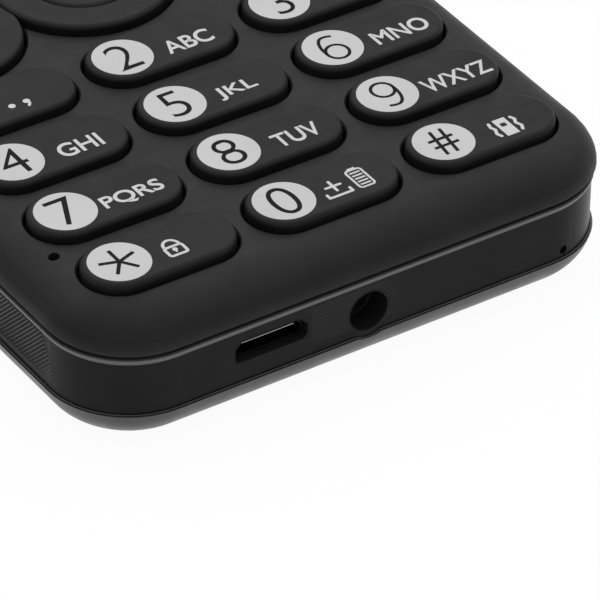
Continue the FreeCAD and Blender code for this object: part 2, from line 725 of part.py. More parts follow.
def back_section():
    """Rolled side of the back cover, inside and out, from the seam down to the flat back."""
    def roll(radius):
        start = math.asin(BACK_DROP / radius)

        def on_roll(angle):
            return place(BACK_FLAT - radius * math.cos(angle), BACK_EDGE_RADIUS - radius * math.sin(angle))

        return Part.Arc(on_roll(start), on_roll((start + math.pi / 2) / 2),
                        on_roll(math.pi / 2)).toShape()

    inside = [(BACK_FLAT, BACK_WALL), (RIM_REACH, BACK_WALL), (RIM_REACH, 0), (BACK_FLAT, 0)]
    seam = [(BACK_INNER, BACK_SIDE), (BACK_INSET, BACK_SIDE)]
    return [roll(BACK_EDGE_RADIUS), roll(BACK_INNER_RADIUS)] + lines(inside) + lines(seam)


def make_back_cover():
    plate = body_plate(RIM_REACH - RIM_OVERLAP, 0, BACK_WALL)
    cover = joined(carried_round(back_section()), [plate])
    tab_middle = (BODY_WIDTH - TAB_OUTER - TAB_INNER) / 2
    tabs = [block(TAB_THICKNESS, TAB_LENGTH, side * tab_middle, from_end(y), TAB_FOOT,
                  BAND_FOOT + TAB_RISE)
            for side in (-1, 1) for y in TAB_PLACES]
    cover = joined(cover, tabs)
    camera_y = from_end(CAMERA_Y)
    cutters = [post(CAMERA_LENS_RADIUS + TRIM_GAP, CAMERA_X, camera_y, -1, BACK_WALL + 1),
               post(FLASH_RADIUS + TRIM_GAP, FLASH_X, camera_y, -1, BACK_WALL + 1),
               bar(JACK_LIP_RADIUS + FIT_GAP, JACK_X, JACK_Z, from_end(-1), 1 + BAND_INSET + BAND_WALL)]
    for slot in range(GRILLE_SLOTS):
        y = from_end(SPEAKER_Y) + (slot - (GRILLE_SLOTS - 1) / 2) * GRILLE_PITCH
        cutters.append(stadium(GRILLE_SLOT_LENGTH, GRILLE_SLOT_WIDTH, SPEAKER_X, y, -1, BACK_WALL + 1))
    return cover.cut(cutters)


def make_display_window():
    foot = FACE - WINDOW_SUNK - WINDOW_THICKNESS
    top = FACE - WINDOW_SUNK
    return softened(window_plate(0, foot, top), WINDOW_EDGE, top)


def make_earpiece_grille():
    top = FACE - EARPIECE_GRILLE_SUNK
    foot = top - EARPIECE_GRILLE_THICKNESS
    grille = earpiece_plate(-FIT_GAP, foot, top)
    first = -(EARPIECE_HOLES - 1) / 2
    holes = [post(EARPIECE_HOLE_RADIUS, (first + hole) * EARPIECE_HOLE_PITCH,
                  from_end(EARPIECE_CENTRE), foot - 1, top + 1)
             for hole in range(EARPIECE_HOLES)]
    return grille.cut(holes)


def make_housing_screws():
    screws = []
    for x, y in screw_places():
        head = post(SCREW_HEAD_RADIUS, x, y, SCREW_SEAT_Z - SCREW_HEAD_HEIGHT, SCREW_SEAT_Z)
        shank = post(SCREW_SHANK_RADIUS, x, y, SCREW_SEAT_Z, LEDGE + SCREW_BITE)
        screws.append(head.fuse(shank).removeSplitter())
    return Part.makeCompound([screw.Solids[0] for screw in screws])


# ----------------------------------------------------------------------------
# Keys
# ----------------------------------------------------------------------------

def plunger(x, y):
    """Nub under a key that presses its dome."""
    return post(PLUNGER_RADIUS, x, y, PLUNGER_FOOT, FLANGE_FOOT + FLANGE_GAP)


def make_number_key(x, y):
    cap = softened(stadium(KEY_LENGTH, KEY_HEIGHT, x, y, FLANGE_FOOT, KEY_TOP), KEY_EDGE, KEY_TOP)
    flange = stadium(KEY_LENGTH + 2 * FLANGE_WIDTH, KEY_HEIGHT + 2 * FLANGE_WIDTH, x, y,
                     FLANGE_FOOT, FLANGE_TOP)
    return joined(cap, [flange, plunger(x, y)])


def make_function_key(side, foot, top, radii):
    nav_y = from_end(NAV_CENTRE)
    cap = softened(function_outline(side, foot, top, radii, 0, FLANGE_FOOT, KEY_TOP), KEY_EDGE, KEY_TOP)
    cap = cap.cut(post(NAV_OPENING, 0, nav_y, FLANGE_FOOT - 1, KEY_TOP + 1))
    flange = function_outline(side, foot, top, radii, FLANGE_WIDTH, FLANGE_FOOT, FLANGE_TOP)
    middle = ((FUNCTION_OUTER + FUNCTION_INNER) / 2, from_end((foot + top) / 2))
    key = joined(cap, [flange, plunger(side * middle[0], middle[1])])
    clear_of_ring = post(NAV_FLANGE_RADIUS + NAV_TILT_ROOM, 0, nav_y, FLANGE_FOOT - 1,
                         FACE_UNDER + KEY_TRAVEL)
    return key.cut(clear_of_ring)


def make_nav_ring():
    inner = OK_RADIUS + KEY_GAP
    edge = (NAV_RADIUS - KEY_EDGE, KEY_TOP - KEY_EDGE)
    lip = (inner + NAV_DISH, KEY_TOP - 2 * NAV_DISH)
    profile = [(inner, NAV_FLANGE_FOOT), (NAV_FLANGE_RADIUS, NAV_FLANGE_FOOT),
               (NAV_FLANGE_RADIUS, NAV_FLANGE_TOP), (NAV_RADIUS, NAV_FLANGE_TOP),
               (NAV_RADIUS, edge[1]), (edge[0], KEY_TOP, edge_arc(edge, KEY_EDGE, 1)),
               (lip[0], KEY_TOP - NAV_DISH), (inner, lip[1], edge_arc(lip, NAV_DISH, -1))]
    return turned(profile, 0, from_end(NAV_CENTRE))


def make_ok_key():
    top = KEY_TOP - OK_SUNK
    edge = (OK_RADIUS - KEY_EDGE, top - KEY_EDGE)
    flange_radius = OK_RADIUS + OK_FLANGE_WIDTH
    flange_top = NAV_FLANGE_FOOT - NAV_TILT_ROOM
    flange_foot = flange_top - OK_FLANGE_THICKNESS
    profile = [(0, PLUNGER_FOOT), (PLUNGER_RADIUS, PLUNGER_FOOT), (PLUNGER_RADIUS, flange_foot),
               (flange_radius, flange_foot), (flange_radius, flange_top), (OK_RADIUS, flange_top),
               (OK_RADIUS, edge[1]), (edge[0], top, edge_arc(edge, KEY_EDGE, 1)), (0, top)]
    return turned(profile, 0, from_end(NAV_CENTRE))


def make_nav_pad():
    foot = NAV_PAD_TOP - NAV_PAD_THICKNESS
    nav_y = from_end(NAV_CENTRE)
    pad = post(NAV_PAD_OUTER, 0, nav_y, foot, NAV_PAD_TOP)
    return pad.cut(post(NAV_PAD_INNER, 0, nav_y, foot - 1, NAV_PAD_TOP + 1))


def mat_sheet(foot, top):
    """Sheet that covers all the domes."""
    middle = from_end((MAT_FOOT + MAT_TOP) / 2)
    return rounded_plate(BODY_WIDTH - 2 * MAT_SIDE, MAT_TOP - MAT_FOOT, DOME_RADIUS, 0, middle,
                         foot, top)


def make_key_mat():
    mat = mat_sheet(DOME_BASE, MAT_SURFACE)
    holes = [post(DOME_RADIUS + DOME_ROOM, x, y, DOME_BASE - 1, MAT_SURFACE + 1)
             for x, y in dome_places()]
    holes.append(post(NAV_FLANGE_RADIUS + DOME_ROOM, 0, from_end(NAV_CENTRE),
                      DOME_BASE - 1, MAT_SURFACE + 1))
    return mat.cut(holes)


def make_dome_sheet():
    sheet = mat_sheet(BOARD_TOP, DOME_BASE)
    domes = [Part.makeCone(DOME_RADIUS, DOME_CROWN, DOME_HEIGHT, Vector(x, y, DOME_BASE))
             for x, y in dome_places()]
    return joined(sheet, domes)


# ----------------------------------------------------------------------------
# Electronics
# ----------------------------------------------------------------------------

def make_main_board():
    board = body_plate(SKIRT_INSET + BOARD_EDGE_GAP, LEDGE, BOARD_TOP)
    notches = [post(BOSS_RADIUS + BOARD_NOTCH_GAP, x, y, LEDGE - 1, BOARD_TOP + 1)
               for x, y in screw_places()]
    return board.cut(notches)


def make_lcd_module():
    return rounded_plate(BODY_WIDTH - 2 * LCD_SIDE, WINDOW_LENGTH + 2 * LCD_REACH, LCD_RADIUS,
                         0, from_end(WINDOW_CENTRE), BOARD_TOP, FACE_UNDER - FIT_GAP)


def make_earpiece_speaker():
    return rounded_plate(EARPIECE_WIDTH, EARPIECE_LENGTH, 1, 0, from_end(EARPIECE_CENTRE),
                         BOARD_TOP, BOARD_TOP + EARPIECE_HEIGHT)


def make_microphone():
    return block(MIC_WIDTH, MIC_LENGTH, MIC_X + FIT_GAP, from_end(MIC_Y), BOARD_TOP,
                 BOARD_TOP + MIC_HEIGHT)


def make_mic_boot():
    foot = BOARD_TOP + MIC_HEIGHT
    y = from_end(MIC_Y)
    boot = post(BOOT_RADIUS, MIC_X, y, foot, FACE_UNDER)
    return boot.cut(post(MIC_HOLE_RADIUS, MIC_X, y, foot - 1, FACE_UNDER + 1))


def make_micro_usb_socket():
    mouth = from_end(BAND_INSET + USB_SHELL_SUNK)
    shell = usb_prism(USB_SHELL_GAP, mouth, USB_SHELL_DEPTH)
    cavity = usb_prism(USB_SHELL_GAP + USB_SHELL_WALL, mouth - 1,
                       1 + USB_SHELL_DEPTH - USB_BACK_THICKNESS)
    tongue_start = mouth + USB_TONGUE_SUNK
    tongue = Part.makeBox(USB_TONGUE_WIDTH, USB_SHELL_DEPTH - USB_TONGUE_SUNK, USB_TONGUE_HEIGHT,
                          Vector(USB_X - USB_TONGUE_WIDTH / 2, tongue_start, USB_Z))
    root_start = from_end(SOCKET_START)
    root_length = mouth + USB_SHELL_DEPTH - root_start
    saddle = Part.makeBox(USB_SLOT_WIDTH, root_length, LEDGE - USB_Z - USB_SLOT_HEIGHT / 2 + USB_SHELL_GAP,
                          Vector(USB_X - USB_SLOT_WIDTH / 2, root_start,
                                 USB_Z + USB_SLOT_HEIGHT / 2 - USB_SHELL_GAP))
    return joined(shell.cut(cavity), [tongue, saddle])


def make_audio_jack_socket():
    start = from_end(SOCKET_START)
    foot = FLOOR_TOP + FIT_GAP
    body = Part.makeBox(JACK_BODY_WIDTH, JACK_BODY_DEPTH, LEDGE - foot,
                        Vector(JACK_X - JACK_BODY_WIDTH / 2, start, foot))
    return body.cut(bar(JACK_BORE_RADIUS, JACK_X, JACK_Z, start - 1, 1 + JACK_BORE_DEPTH))


def make_camera_module():
    return block(CAMERA_SIZE, CAMERA_SIZE, CAMERA_X, from_end(CAMERA_Y), FLOOR_TOP, LEDGE)


def make_lens(radius, x):
    lens = post(radius, x, from_end(CAMERA_Y), LENS_SUNK, LENS_SUNK + LENS_THICKNESS)
    return softened(lens, LENS_EDGE, LENS_SUNK)


def make_loudspeaker():
    return speaker_plate(SPEAKER_WIDTH, SPEAKER_LENGTH, FLOOR_TOP, FLOOR_TOP + SPEAKER_HEIGHT)


def make_vibration_motor():
    return post(MOTOR_RADIUS, MOTOR_X, from_end(CAMERA_Y), FLOOR_TOP, FLOOR_TOP + MOTOR_HEIGHT)


def make_antenna():
    return rounded_plate(ANTENNA_WIDTH, ANTENNA_LENGTH, 1, 0, from_end(ANTENNA_Y), FLOOR_TOP,
                         FLOOR_TOP + ANTENNA_HEIGHT)


def make_shield_can(width, side, foot, top):
    """Shield can with its centre this far in from the +X side, from foot up to top."""
    return rounded_plate(width, top - foot, SHIELD_RADIUS, BODY_WIDTH / 2 - side,
                         from_end((foot + top) / 2), LEDGE - SHIELD_HEIGHT, LEDGE)


# ----------------------------------------------------------------------------
# Battery bay
# ----------------------------------------------------------------------------

def make_battery():
    battery = rounded_plate(BATTERY_WIDTH, BATTERY_LENGTH, BATTERY_RADIUS, 0,
                            from_end(BATTERY_CENTRE), BATTERY_FOOT, BATTERY_TOP)
    return softened(battery, BATTERY_EDGE, BATTERY_FOOT)


def make_battery_contacts():
    back = from_end(CONTACTS_BACK)
    foot = LEDGE - CONTACTS_HEIGHT
    body = block(CONTACTS_WIDTH, CONTACTS_DEPTH, 0, back - CONTACTS_DEPTH / 2, foot, LEDGE)
    blades = []
    for blade in range(BLADE_COUNT):
        x = (blade - (BLADE_COUNT - 1) / 2) * BLADE_PITCH
        start = back - FIT_GAP
        reach = from_end(BATTERY_START) - BLADE_GAP - start
        blades.append(Part.makeBox(BLADE_WIDTH, reach, BLADE_HEIGHT,
                                   Vector(x - BLADE_WIDTH / 2, start, LEDGE - BLADE_DROP - BLADE_HEIGHT)))
    return joined(body, blades)


def make_card_holder(x, y, width, length):
    """Flat holder with a slot that the card slides into from the port end."""
    foot = CEILING + FLANGE_GAP
    holder = block(width, length, x, y, foot, LEDGE)
    slot = block(width - 2 * CARD_SLOT_LIP, length, x, y - CARD_SLOT_LIP,
                 foot + CARD_SLOT, foot + 2 * CARD_SLOT)
    return holder.cut(slot)


# ----------------------------------------------------------------------------
# Write one file per piece
# ----------------------------------------------------------------------------

def make_all():
    pieces = {
        "front_cover": make_front_cover(),
        "mid_frame": make_mid_frame(),
        "back_cover": make_back_cover(),
        "display_window": make_display_window(),
        "earpiece_grille": make_earpiece_grille(),
        "housing_screws": make_housing_screws(),
        "nav_ring": make_nav_ring(),
        "ok_key": make_ok_key(),
        "nav_pad": make_nav_pad(),
        "key_mat": make_key_mat(),
        "dome_sheet": make_dome_sheet(),
        "main_board": make_main_board(),
        "lcd_module": make_lcd_module(),
        "earpiece_speaker": make_earpiece_speaker(),
        "microphone": make_microphone(),
        "mic_boot": make_mic_boot(),
        "micro_usb_socket": make_micro_usb_socket(),
        "audio_jack_socket": make_audio_jack_socket(),
        "camera_module": make_camera_module(),
        "camera_lens": make_lens(CAMERA_LENS_RADIUS, CAMERA_X),
        "flash_lens": make_lens(FLASH_RADIUS, FLASH_X),
        "loudspeaker": make_loudspeaker(),
        "vibration_motor": make_vibration_motor(),
        "antenna": make_antenna(),
        "shield_can_upper": make_shield_can(UPPER_SHIELD_WIDTH, UPPER_SHIELD_SIDE,
                                            UPPER_SHIELD_FOOT, UPPER_SHIELD_TOP),
        "shield_can_lower": make_shield_can(LOWER_SHIELD_WIDTH, LOWER_SHIELD_SIDE, LOWER_SHIELD_FOOT,
                                            LOWER_SHIELD_FOOT + LOWER_SHIELD_LENGTH),
        "battery": make_battery(),
        "battery_contacts": make_battery_contacts(),
    }
    for name, place in number_key_places().items():
        pieces[name] = make_number_key(*place)
    for name, sizes in FUNCTION_KEYS.items():
        pieces[name] = make_function_key(*sizes)
    for name, sizes in holder_places().items():
        pieces[name] = make_card_holder(*sizes)
    return pieces


os.makedirs("parts", exist_ok=True)
for piece_name, piece in make_all().items():
    piece.exportStep("parts/" + piece_name + ".step")
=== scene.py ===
import math

import bmesh
import bpy
from mathutils import Matrix, Vector


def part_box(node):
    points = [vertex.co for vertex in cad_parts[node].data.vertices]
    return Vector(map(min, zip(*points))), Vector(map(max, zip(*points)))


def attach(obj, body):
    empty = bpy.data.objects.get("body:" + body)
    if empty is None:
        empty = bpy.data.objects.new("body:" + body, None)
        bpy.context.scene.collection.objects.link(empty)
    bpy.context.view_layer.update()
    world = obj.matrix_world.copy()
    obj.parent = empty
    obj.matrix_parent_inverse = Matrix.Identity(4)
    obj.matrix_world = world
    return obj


# Looks of a bar keypad phone: moulded black case, printed keys, ports, floor and light.
# Sizes are in millimetres until mm() turns them into metres.

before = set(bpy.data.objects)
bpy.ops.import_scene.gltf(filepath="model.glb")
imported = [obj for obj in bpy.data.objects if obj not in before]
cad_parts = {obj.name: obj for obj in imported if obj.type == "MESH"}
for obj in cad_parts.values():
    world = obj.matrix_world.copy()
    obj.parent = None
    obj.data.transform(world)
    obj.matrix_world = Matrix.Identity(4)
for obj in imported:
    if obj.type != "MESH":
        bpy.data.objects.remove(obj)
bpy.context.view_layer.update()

# ----------------------------------------------------------------------------
# Sizes
# ----------------------------------------------------------------------------

MM = 0.001

# Distances in metres, or in a font's units, below which points are merged
JOIN = 1e-8
FONT_JOIN = 1e-4

# Camera
VIEW_AZIMUTH = -33.937
VIEW_ELEVATION = 36.289
VIEW_ROLL = 0.894
VIEW_DISTANCE = 515.634
VIEW_TARGET = (-11.305, -73.125, 15.592)
VIEW_LENS = 347.89
VIEW_SENSOR = 36

# Printed discs and legends, placed from each disc's centre
DISC_RADIUS = 2.95
DISC_SHIFT = -4.15
PRINT_THICKNESS = 0.02
STROKE_STEP = 0.0012
DISC_SEGMENTS = 96
WORD_HALF_DEPTH = 0.5
DIGIT_HEIGHT = 4.2
ZERO_HEIGHT = 4.45
DIGIT_WEIGHT = -0.075
LETTER_HEIGHT = 2.05
LETTER_BASELINE = -2.0
LETTER_WEIGHT = 0.055

DIGITS = {
    "key_0": "0", "key_1": "1", "key_2": "2", "key_3": "3", "key_4": "4",
    "key_5": "5", "key_7": "7", "key_8": "8",
}
LETTERS = {
    "key_2": ("ABC", 4.15, 9.15),
    "key_3": ("DEF", 4.3, 9.0),
    "key_4": ("GHI", 4.4, 8.8),
    "key_5": ("JKL", 4.1, 8.3),
    "key_6": ("MNO", 4.05, 10.0),
    "key_7": ("PQRS", 3.45, 9.7),
    "key_8": ("TUV", 4.4, 9.2),
    "key_9": ("WXYZ", 3.5, 10.7),
}
NUMBER_KEYS = list(DIGITS) + ["key_6", "key_9", "key_star", "key_hash"]

# Signs that are drawn: widths of their strokes, and how smoothly they turn
DRAWN_DIGIT_STROKE = 0.34
STAR_STROKE = 0.36
STAR_REACH = 1.93
STAR_ARMS = 5
HASH_HALF = 1.95
HASH_RAIL = 1.33
HASH_LEAN = 0.25
HASH_GAP = 0.55
PADLOCK_STROKE = 0.33
SHACKLE_STROKE = 0.32
KEYHOLE_WIDTH = 0.5
KEYHOLE_SLOT = 0.22
PLUS_STROKE = 0.3
BATTERY_STROKE = 0.25
BATTERY_BARS = 5
BATTERY_BAR_PITCH = 0.475
WAVE_STROKE = 0.32
DOT_WIDTH = 0.66
COMMA_STROKE = 0.28
STROKE_END_SEGMENTS = 16
BOX_CORNER_STEPS = 5
BEAD_SMOOTH = 3

# Half the body's width and length, its corners, the band's inset and port end, the seam's height
HALF_X, HALF_Y = [(high - low) / 2 / MM for low, high in zip(*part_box("front_cover"))][:2]
BODY_CORNER = 8.7
BAND_INSET = 0.4
SEAM_HEIGHT = 3.9
END_WALL = BAND_INSET - HALF_Y

# Bright bead along the top of the band: its heights, and where its metal finish fades out; the
# finish is partly real gloss and partly a painted sheen for the bead's highlight
BEAD_FOOT = 9.57
BEAD_BRIGHT = 9.95
BEAD_FADED = 10.3
BEAD_SOFT = 0.04

# Strip at the bottom of the gap between band and front cover
GAP_FOOT = 10.29
GAP_TOP = 10.71
GAP_STRIP_INSET = 0.5
GAP_STRIP_WALL = 0.3
PLATE_CORNER_SEGMENTS = 24

# Lip of the back cover along the seam, with its dip below the headphone hole
LIP_INSET = 0.32
LIP_RISE = 0.08
LIP_RADIUS = 0.075
DIP_RADIUS = 2.86
DIP_STEPS = 24
LIP_CORNER_STEPS = 16

# Mouths of the ports: raised rims, and the socket's bright upper edge
JACK_HEIGHT = 6.5
JACK_MOUTH = 2.05
MOUTH_LEFT = -14.5
MOUTH_RIGHT = -6.7
MOUTH_FOOT = 6.2
MOUTH_TOP = 8.5
MOUTH_CORNERS = (0.45, 0.8, 1.0, 1.05)
MOUTH_CORNER_STEPS = 8
MOUTH_FILL = 0.35
MOUTH_DEPTH = 0.9
RIM_RADIUS = 0.04
RIM_STEPS = 64
COLLAR_SUNK = 0.01
EDGE_SUNK = 0.08
EDGE_DROP = 0.22
EDGE_LENGTH = 5.6
EDGE_HEIGHT = 0.07
EDGE_SHIFT = 0.4
EDGE_ROUND = 0.02

# Slanted ribs moulded into the band's long sides, and between them nearly black stripes of painted
# shade for the troughs
RIB_PITCH = 0.5
RIB_WIDTH = 0.16
RIB_RELIEF = 0.08
SHADE_STRIPE_WIDTH = 0.22
SHADE_STRIPE_RELIEF = 0.006
RIB_FOOT = 4.88
RIB_TOP = 9.45
RIB_END = 60.5
RIB_END_LEAN = 0.55
RIB_FADE = 4.0

# Fainter ribs between the ports, and how far they keep from the ports
HATCH_RELIEF = 0.02
HATCH_CROSS_SHARE = 0.5
HATCH_FADE = 3.0
HATCH_FAINTEST = 0.1
HATCH_STEPS = 24
HATCH_LEFT = -7.6
HATCH_RIGHT = 3.4
HATCH_FOOT = 5.1
HATCH_TOP = 9.4
JACK_CLEAR = 2.2
USB_LEFT, USB_RIGHT = [corner.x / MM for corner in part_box("micro_usb_socket")]
USB_CLEAR = 0.3
USB_CLEAR_TOP = 8.7

# Materials: where noise mostly lies, the sizes of its grains, and how far a finish wanders
NOISE_SPAN = (0.3, 0.7)
NOISE_DETAIL = 2.0
PATCH_SIZE = 6.0
SHEEN_SIZE = 2.0
SHEEN_WANDER = 0.04
GRAIN_STRENGTH = 0.3
GRAIN_RELIEF = 0.01
FINE_RELIEF = 0.004
GLASS_RELIEF = 0.002
PLASTIC_VARIATION = 0.15
PAINT_VARIATION = 0.03
BAND_VARIATION = 0.1
BAND_GLOSS = 0.075
FINE_GRAIN = 0.2
METAL_VARIATION = 0.08
METAL_PATCH_SIZE = 1.5
METAL_SMOOTHER = 0.05
METAL_ROUGHER = 0.08
ACRYLIC_VARIATION = 0.05
ACRYLIC_PATCH_SIZE = 10.0
ACRYLIC_SHEEN_SIZE = 5.0
ACRYLIC_ROUGHER = 0.03
ACRYLIC_CLEARNESS = 0.6
ACRYLIC_IOR = 1.49

# Floor and light
FLOOR_SIZE = 30000.0
FLOOR_DROP = 0.02
FLOOR_GLOW = 0.95
FLOOR_WHITE = 0.93
FLOOR_VARIATION = 0.01
FLOOR_ROUGHNESS = 0.9
FLOOR_PATCH_SIZE = 400.0
SKY_BEHIND = (0.45, 0.669, 0.592)
SKY_SPREAD = -0.3
SKY_DARK = 0.78
SKY_BRIGHT = 1.5
HORIZON_TOP = 0.6
HORIZON_SHARE = 0.2


def mm(*values):
    """Vector in metres from millimetres."""
    return Vector([value * MM for value in values])


def grey(value):
    """Neutral colour of one value."""
    return (value, value, value)


# ----------------------------------------------------------------------------
# Materials
# ----------------------------------------------------------------------------

def node_material(name):
    """New material, its node tree and its shader."""
    made = bpy.data.materials.new(name)
    made.use_nodes = True
    return made, made.node_tree, made.node_tree.nodes["Principled BSDF"]


def noise(tree, size):
    """Noise over Object coordinates, with grains about this many millimetres across."""
    place = tree.nodes.new("ShaderNodeTexCoord")
    pattern = tree.nodes.new("ShaderNodeTexNoise")
    pattern.inputs["Scale"].default_value = 1 / (size * MM)
    pattern.inputs["Detail"].default_value = NOISE_DETAIL
    tree.links.new(place.outputs["Object"], pattern.inputs["Vector"])
    return pattern.outputs["Fac"]


def map_range(tree, value, span, levels, smooth=False):
    """Value taken from a span to two levels, in a straight line or as a smooth step."""
    spread = tree.nodes.new("ShaderNodeMapRange")
    if smooth:
        spread.interpolation_type = "SMOOTHSTEP"
    for name, number in zip(("From Min", "From Max", "To Min", "To Max"), (*span, *levels)):
        spread.inputs[name].default_value = number
    tree.links.new(value, spread.inputs["Value"])
    return spread.outputs["Result"]


def noise_between(tree, size, low, high):
    """Noise that wanders between two levels."""
    return map_range(tree, noise(tree, size), NOISE_SPAN, (low, high))


def combined(tree, operation, first, second):
    """Outcome of a Math node on two sockets, or on a socket and a number."""
    node = tree.nodes.new("ShaderNodeMath")
    node.operation = operation
    for value, socket in zip((first, second), node.inputs):
        if isinstance(value, float):
            socket.default_value = value
        else:
            tree.links.new(value, socket)
    return node.outputs["Value"]


def mottled(tree, shader, colour, variation, size):
    """Base colour that wanders a little lighter and darker."""
    mix = tree.nodes.new("ShaderNodeMix")
    mix.data_type = "RGBA"
    mix.inputs["A"].default_value = [c * (1 - variation) for c in colour] + [1]
    mix.inputs["B"].default_value = [c * (1 + variation) for c in colour] + [1]
    tree.links.new(noise_between(tree, size, 0.0, 1.0), mix.inputs["Factor"])
    tree.links.new(mix.outputs["Result"], shader.inputs["Base Color"])


def grained(tree, shader, size, relief):
    """Fine moulded grain as a bump."""
    bump = tree.nodes.new("ShaderNodeBump")
    bump.inputs["Strength"].default_value = GRAIN_STRENGTH
    bump.inputs["Distance"].default_value = relief * MM
    tree.links.new(noise(tree, size), bump.inputs["Height"])
    tree.links.new(bump.outputs["Normal"], shader.inputs["Normal"])


def moulded(name, colour, roughness, grain, relief, gloss=0.5, variation=PLASTIC_VARIATION):
    """Moulded plastic or rubber with a fine grain and slightly uneven sheen."""
    made, tree, shader = node_material(name)
    mottled(tree, shader, colour, variation, PATCH_SIZE)
    sheen = noise_between(tree, SHEEN_SIZE, roughness - SHEEN_WANDER, roughness + SHEEN_WANDER)
    tree.links.new(sheen, shader.inputs["Roughness"])
    shader.inputs["Specular IOR Level"].default_value = gloss
    grained(tree, shader, grain, relief)
    return made


def height_step(tree, start, finish):
    """Smooth step from 0 to 1 between two heights in millimetres, over Object coordinates."""
    place = tree.nodes.new("ShaderNodeTexCoord")
    split = tree.nodes.new("ShaderNodeSeparateXYZ")
    tree.links.new(place.outputs["Object"], split.inputs["Vector"])
    low, high = sorted((start, finish))
    levels = (float(start > finish), float(start < finish))
    return map_range(tree, split.outputs["Z"], (low * MM, high * MM), levels, smooth=True)


def banded(name, colour, roughness, bead_sheen_colour, bead_roughness):
    """Satin band plastic whose bead has a dark metal finish that fades out upwards, partly real
    gloss and partly a painted sheen standing in for the highlight along the bead.
    """
    made, tree, shader = node_material(name)
    above_foot = height_step(tree, BEAD_FOOT - BEAD_SOFT, BEAD_FOOT + BEAD_SOFT)
    below_top = height_step(tree, BEAD_FADED, BEAD_BRIGHT)
    bead = combined(tree, "MULTIPLY", above_foot, below_top)
    mottled(tree, shader, colour, BAND_VARIATION, PATCH_SIZE)
    plain = shader.inputs["Base Color"].links[0].from_socket
    mix = tree.nodes.new("ShaderNodeMix")
    mix.data_type = "RGBA"
    mix.inputs["B"].default_value = (*bead_sheen_colour, 1)
    tree.links.new(bead, mix.inputs["Factor"])
    tree.links.new(plain, mix.inputs["A"])
    tree.links.new(mix.outputs["Result"], shader.inputs["Base Color"])
    tree.links.new(bead, shader.inputs["Metallic"])
    sheen = map_range(tree, bead, (0.0, 1.0), (roughness, bead_roughness))
    tree.links.new(sheen, shader.inputs["Roughness"])
    shader.inputs["Specular IOR Level"].default_value = BAND_GLOSS
    grained(tree, shader, FINE_GRAIN, FINE_RELIEF)
    return made


def metal(name, colour, roughness, grain):
    """Drawn sheet metal with a faint grain."""
    made, tree, shader = node_material(name)
    mottled(tree, shader, colour, METAL_VARIATION, METAL_PATCH_SIZE)
    sheen = noise_between(tree, grain, roughness - METAL_SMOOTHER, roughness + METAL_ROUGHER)
    tree.links.new(sheen, shader.inputs["Roughness"])
    shader.inputs["Metallic"].default_value = 1.0
    grained(tree, shader, grain, FINE_RELIEF)
    return made


def clear(name, colour, roughness):
    """Polished clear part with the faintest haze."""
    made, tree, shader = node_material(name)
    mottled(tree, shader, colour, ACRYLIC_VARIATION, ACRYLIC_PATCH_SIZE)
    haze = noise_between(tree, ACRYLIC_SHEEN_SIZE, roughness, roughness + ACRYLIC_ROUGHER)
    tree.links.new(haze, shader.inputs["Roughness"])
    shader.inputs["Transmission Weight"].default_value = ACRYLIC_CLEARNESS
    shader.inputs["IOR"].default_value = ACRYLIC_IOR
    return made


FACE_PLASTIC = moulded("face_plastic", (0.0095, 0.0095, 0.0097), 0.5, 0.12, GRAIN_RELIEF,
                       gloss=0.21)
KEY_PLASTIC = moulded("key_plastic", (0.008, 0.008, 0.0082), 0.5, 0.12, GRAIN_RELIEF, gloss=0.18)
# The bead's metal colour and its fade upwards are partly a painted sheen for the bead's highlight
BAND_PLASTIC = banded("band_plastic", grey(0.012), 0.3, grey(0.135), 0.25)
RIB_PLASTIC = moulded("rib_plastic", grey(0.016), 0.3, FINE_GRAIN, FINE_RELIEF, gloss=0.45)
# Nearly black, dull stripes laid between the ribs: painted shade standing in for the troughs
SHADE_STRIPE_PAINT = moulded("painted_shade_stripes", grey(0.005), 0.45, FINE_GRAIN, FINE_RELIEF, gloss=0.04)
HATCH_PLASTIC = moulded("hatch_plastic", grey(0.012), 0.3, FINE_GRAIN, FINE_RELIEF, gloss=0.13)
BACK_PLASTIC = moulded("back_plastic", (0.03, 0.03, 0.0305), 0.35, 0.15, GRAIN_RELIEF)
INNER_PLASTIC = moulded("inner_plastic", grey(0.02), 0.55, 0.1, GRAIN_RELIEF, gloss=0.3)
SILICONE = moulded("silicone", grey(0.12), 0.6, 0.3, GRAIN_RELIEF)
BOARD_LACQUER = moulded("board_lacquer", (0.01, 0.09, 0.04), 0.35, 0.5, GRAIN_RELIEF)
CELL_WRAP = moulded("cell_wrap", (0.06, 0.06, 0.065), 0.35, 1.0, GRAIN_RELIEF)
DISC_PAINT = moulded("disc_paint", grey(0.5), 0.5, 0.1, FINE_RELIEF,
                     variation=PAINT_VARIATION)
LETTER_PAINT = moulded("letter_paint", grey(0.54), 0.5, 0.1, FINE_RELIEF,
                       variation=PAINT_VARIATION)
DIGIT_PAINT = moulded("digit_paint", grey(0.004), 0.5, 0.1, FINE_RELIEF, gloss=0.08)
STEEL = metal("steel", grey(0.55), 0.3, 0.08)
# Steel of the USB socket, painted nearly black: painted shade for the inside of the port
SHADED_PORT_STEEL = metal("port_steel_painted_shade", grey(0.025), 0.45, 0.08)
DOME_FILM = metal("dome_film", (0.5, 0.5, 0.48), 0.35, 0.3)
WINDOW_ACRYLIC = clear("window_acrylic", (0.02, 0.02, 0.022), 0.04)
LENS_ACRYLIC = clear("lens_acrylic", (0.3, 0.3, 0.32), 0.04)
SCREEN_GLASS = moulded("screen_glass", (0.012, 0.014, 0.016), 0.12, 2.0, GLASS_RELIEF)

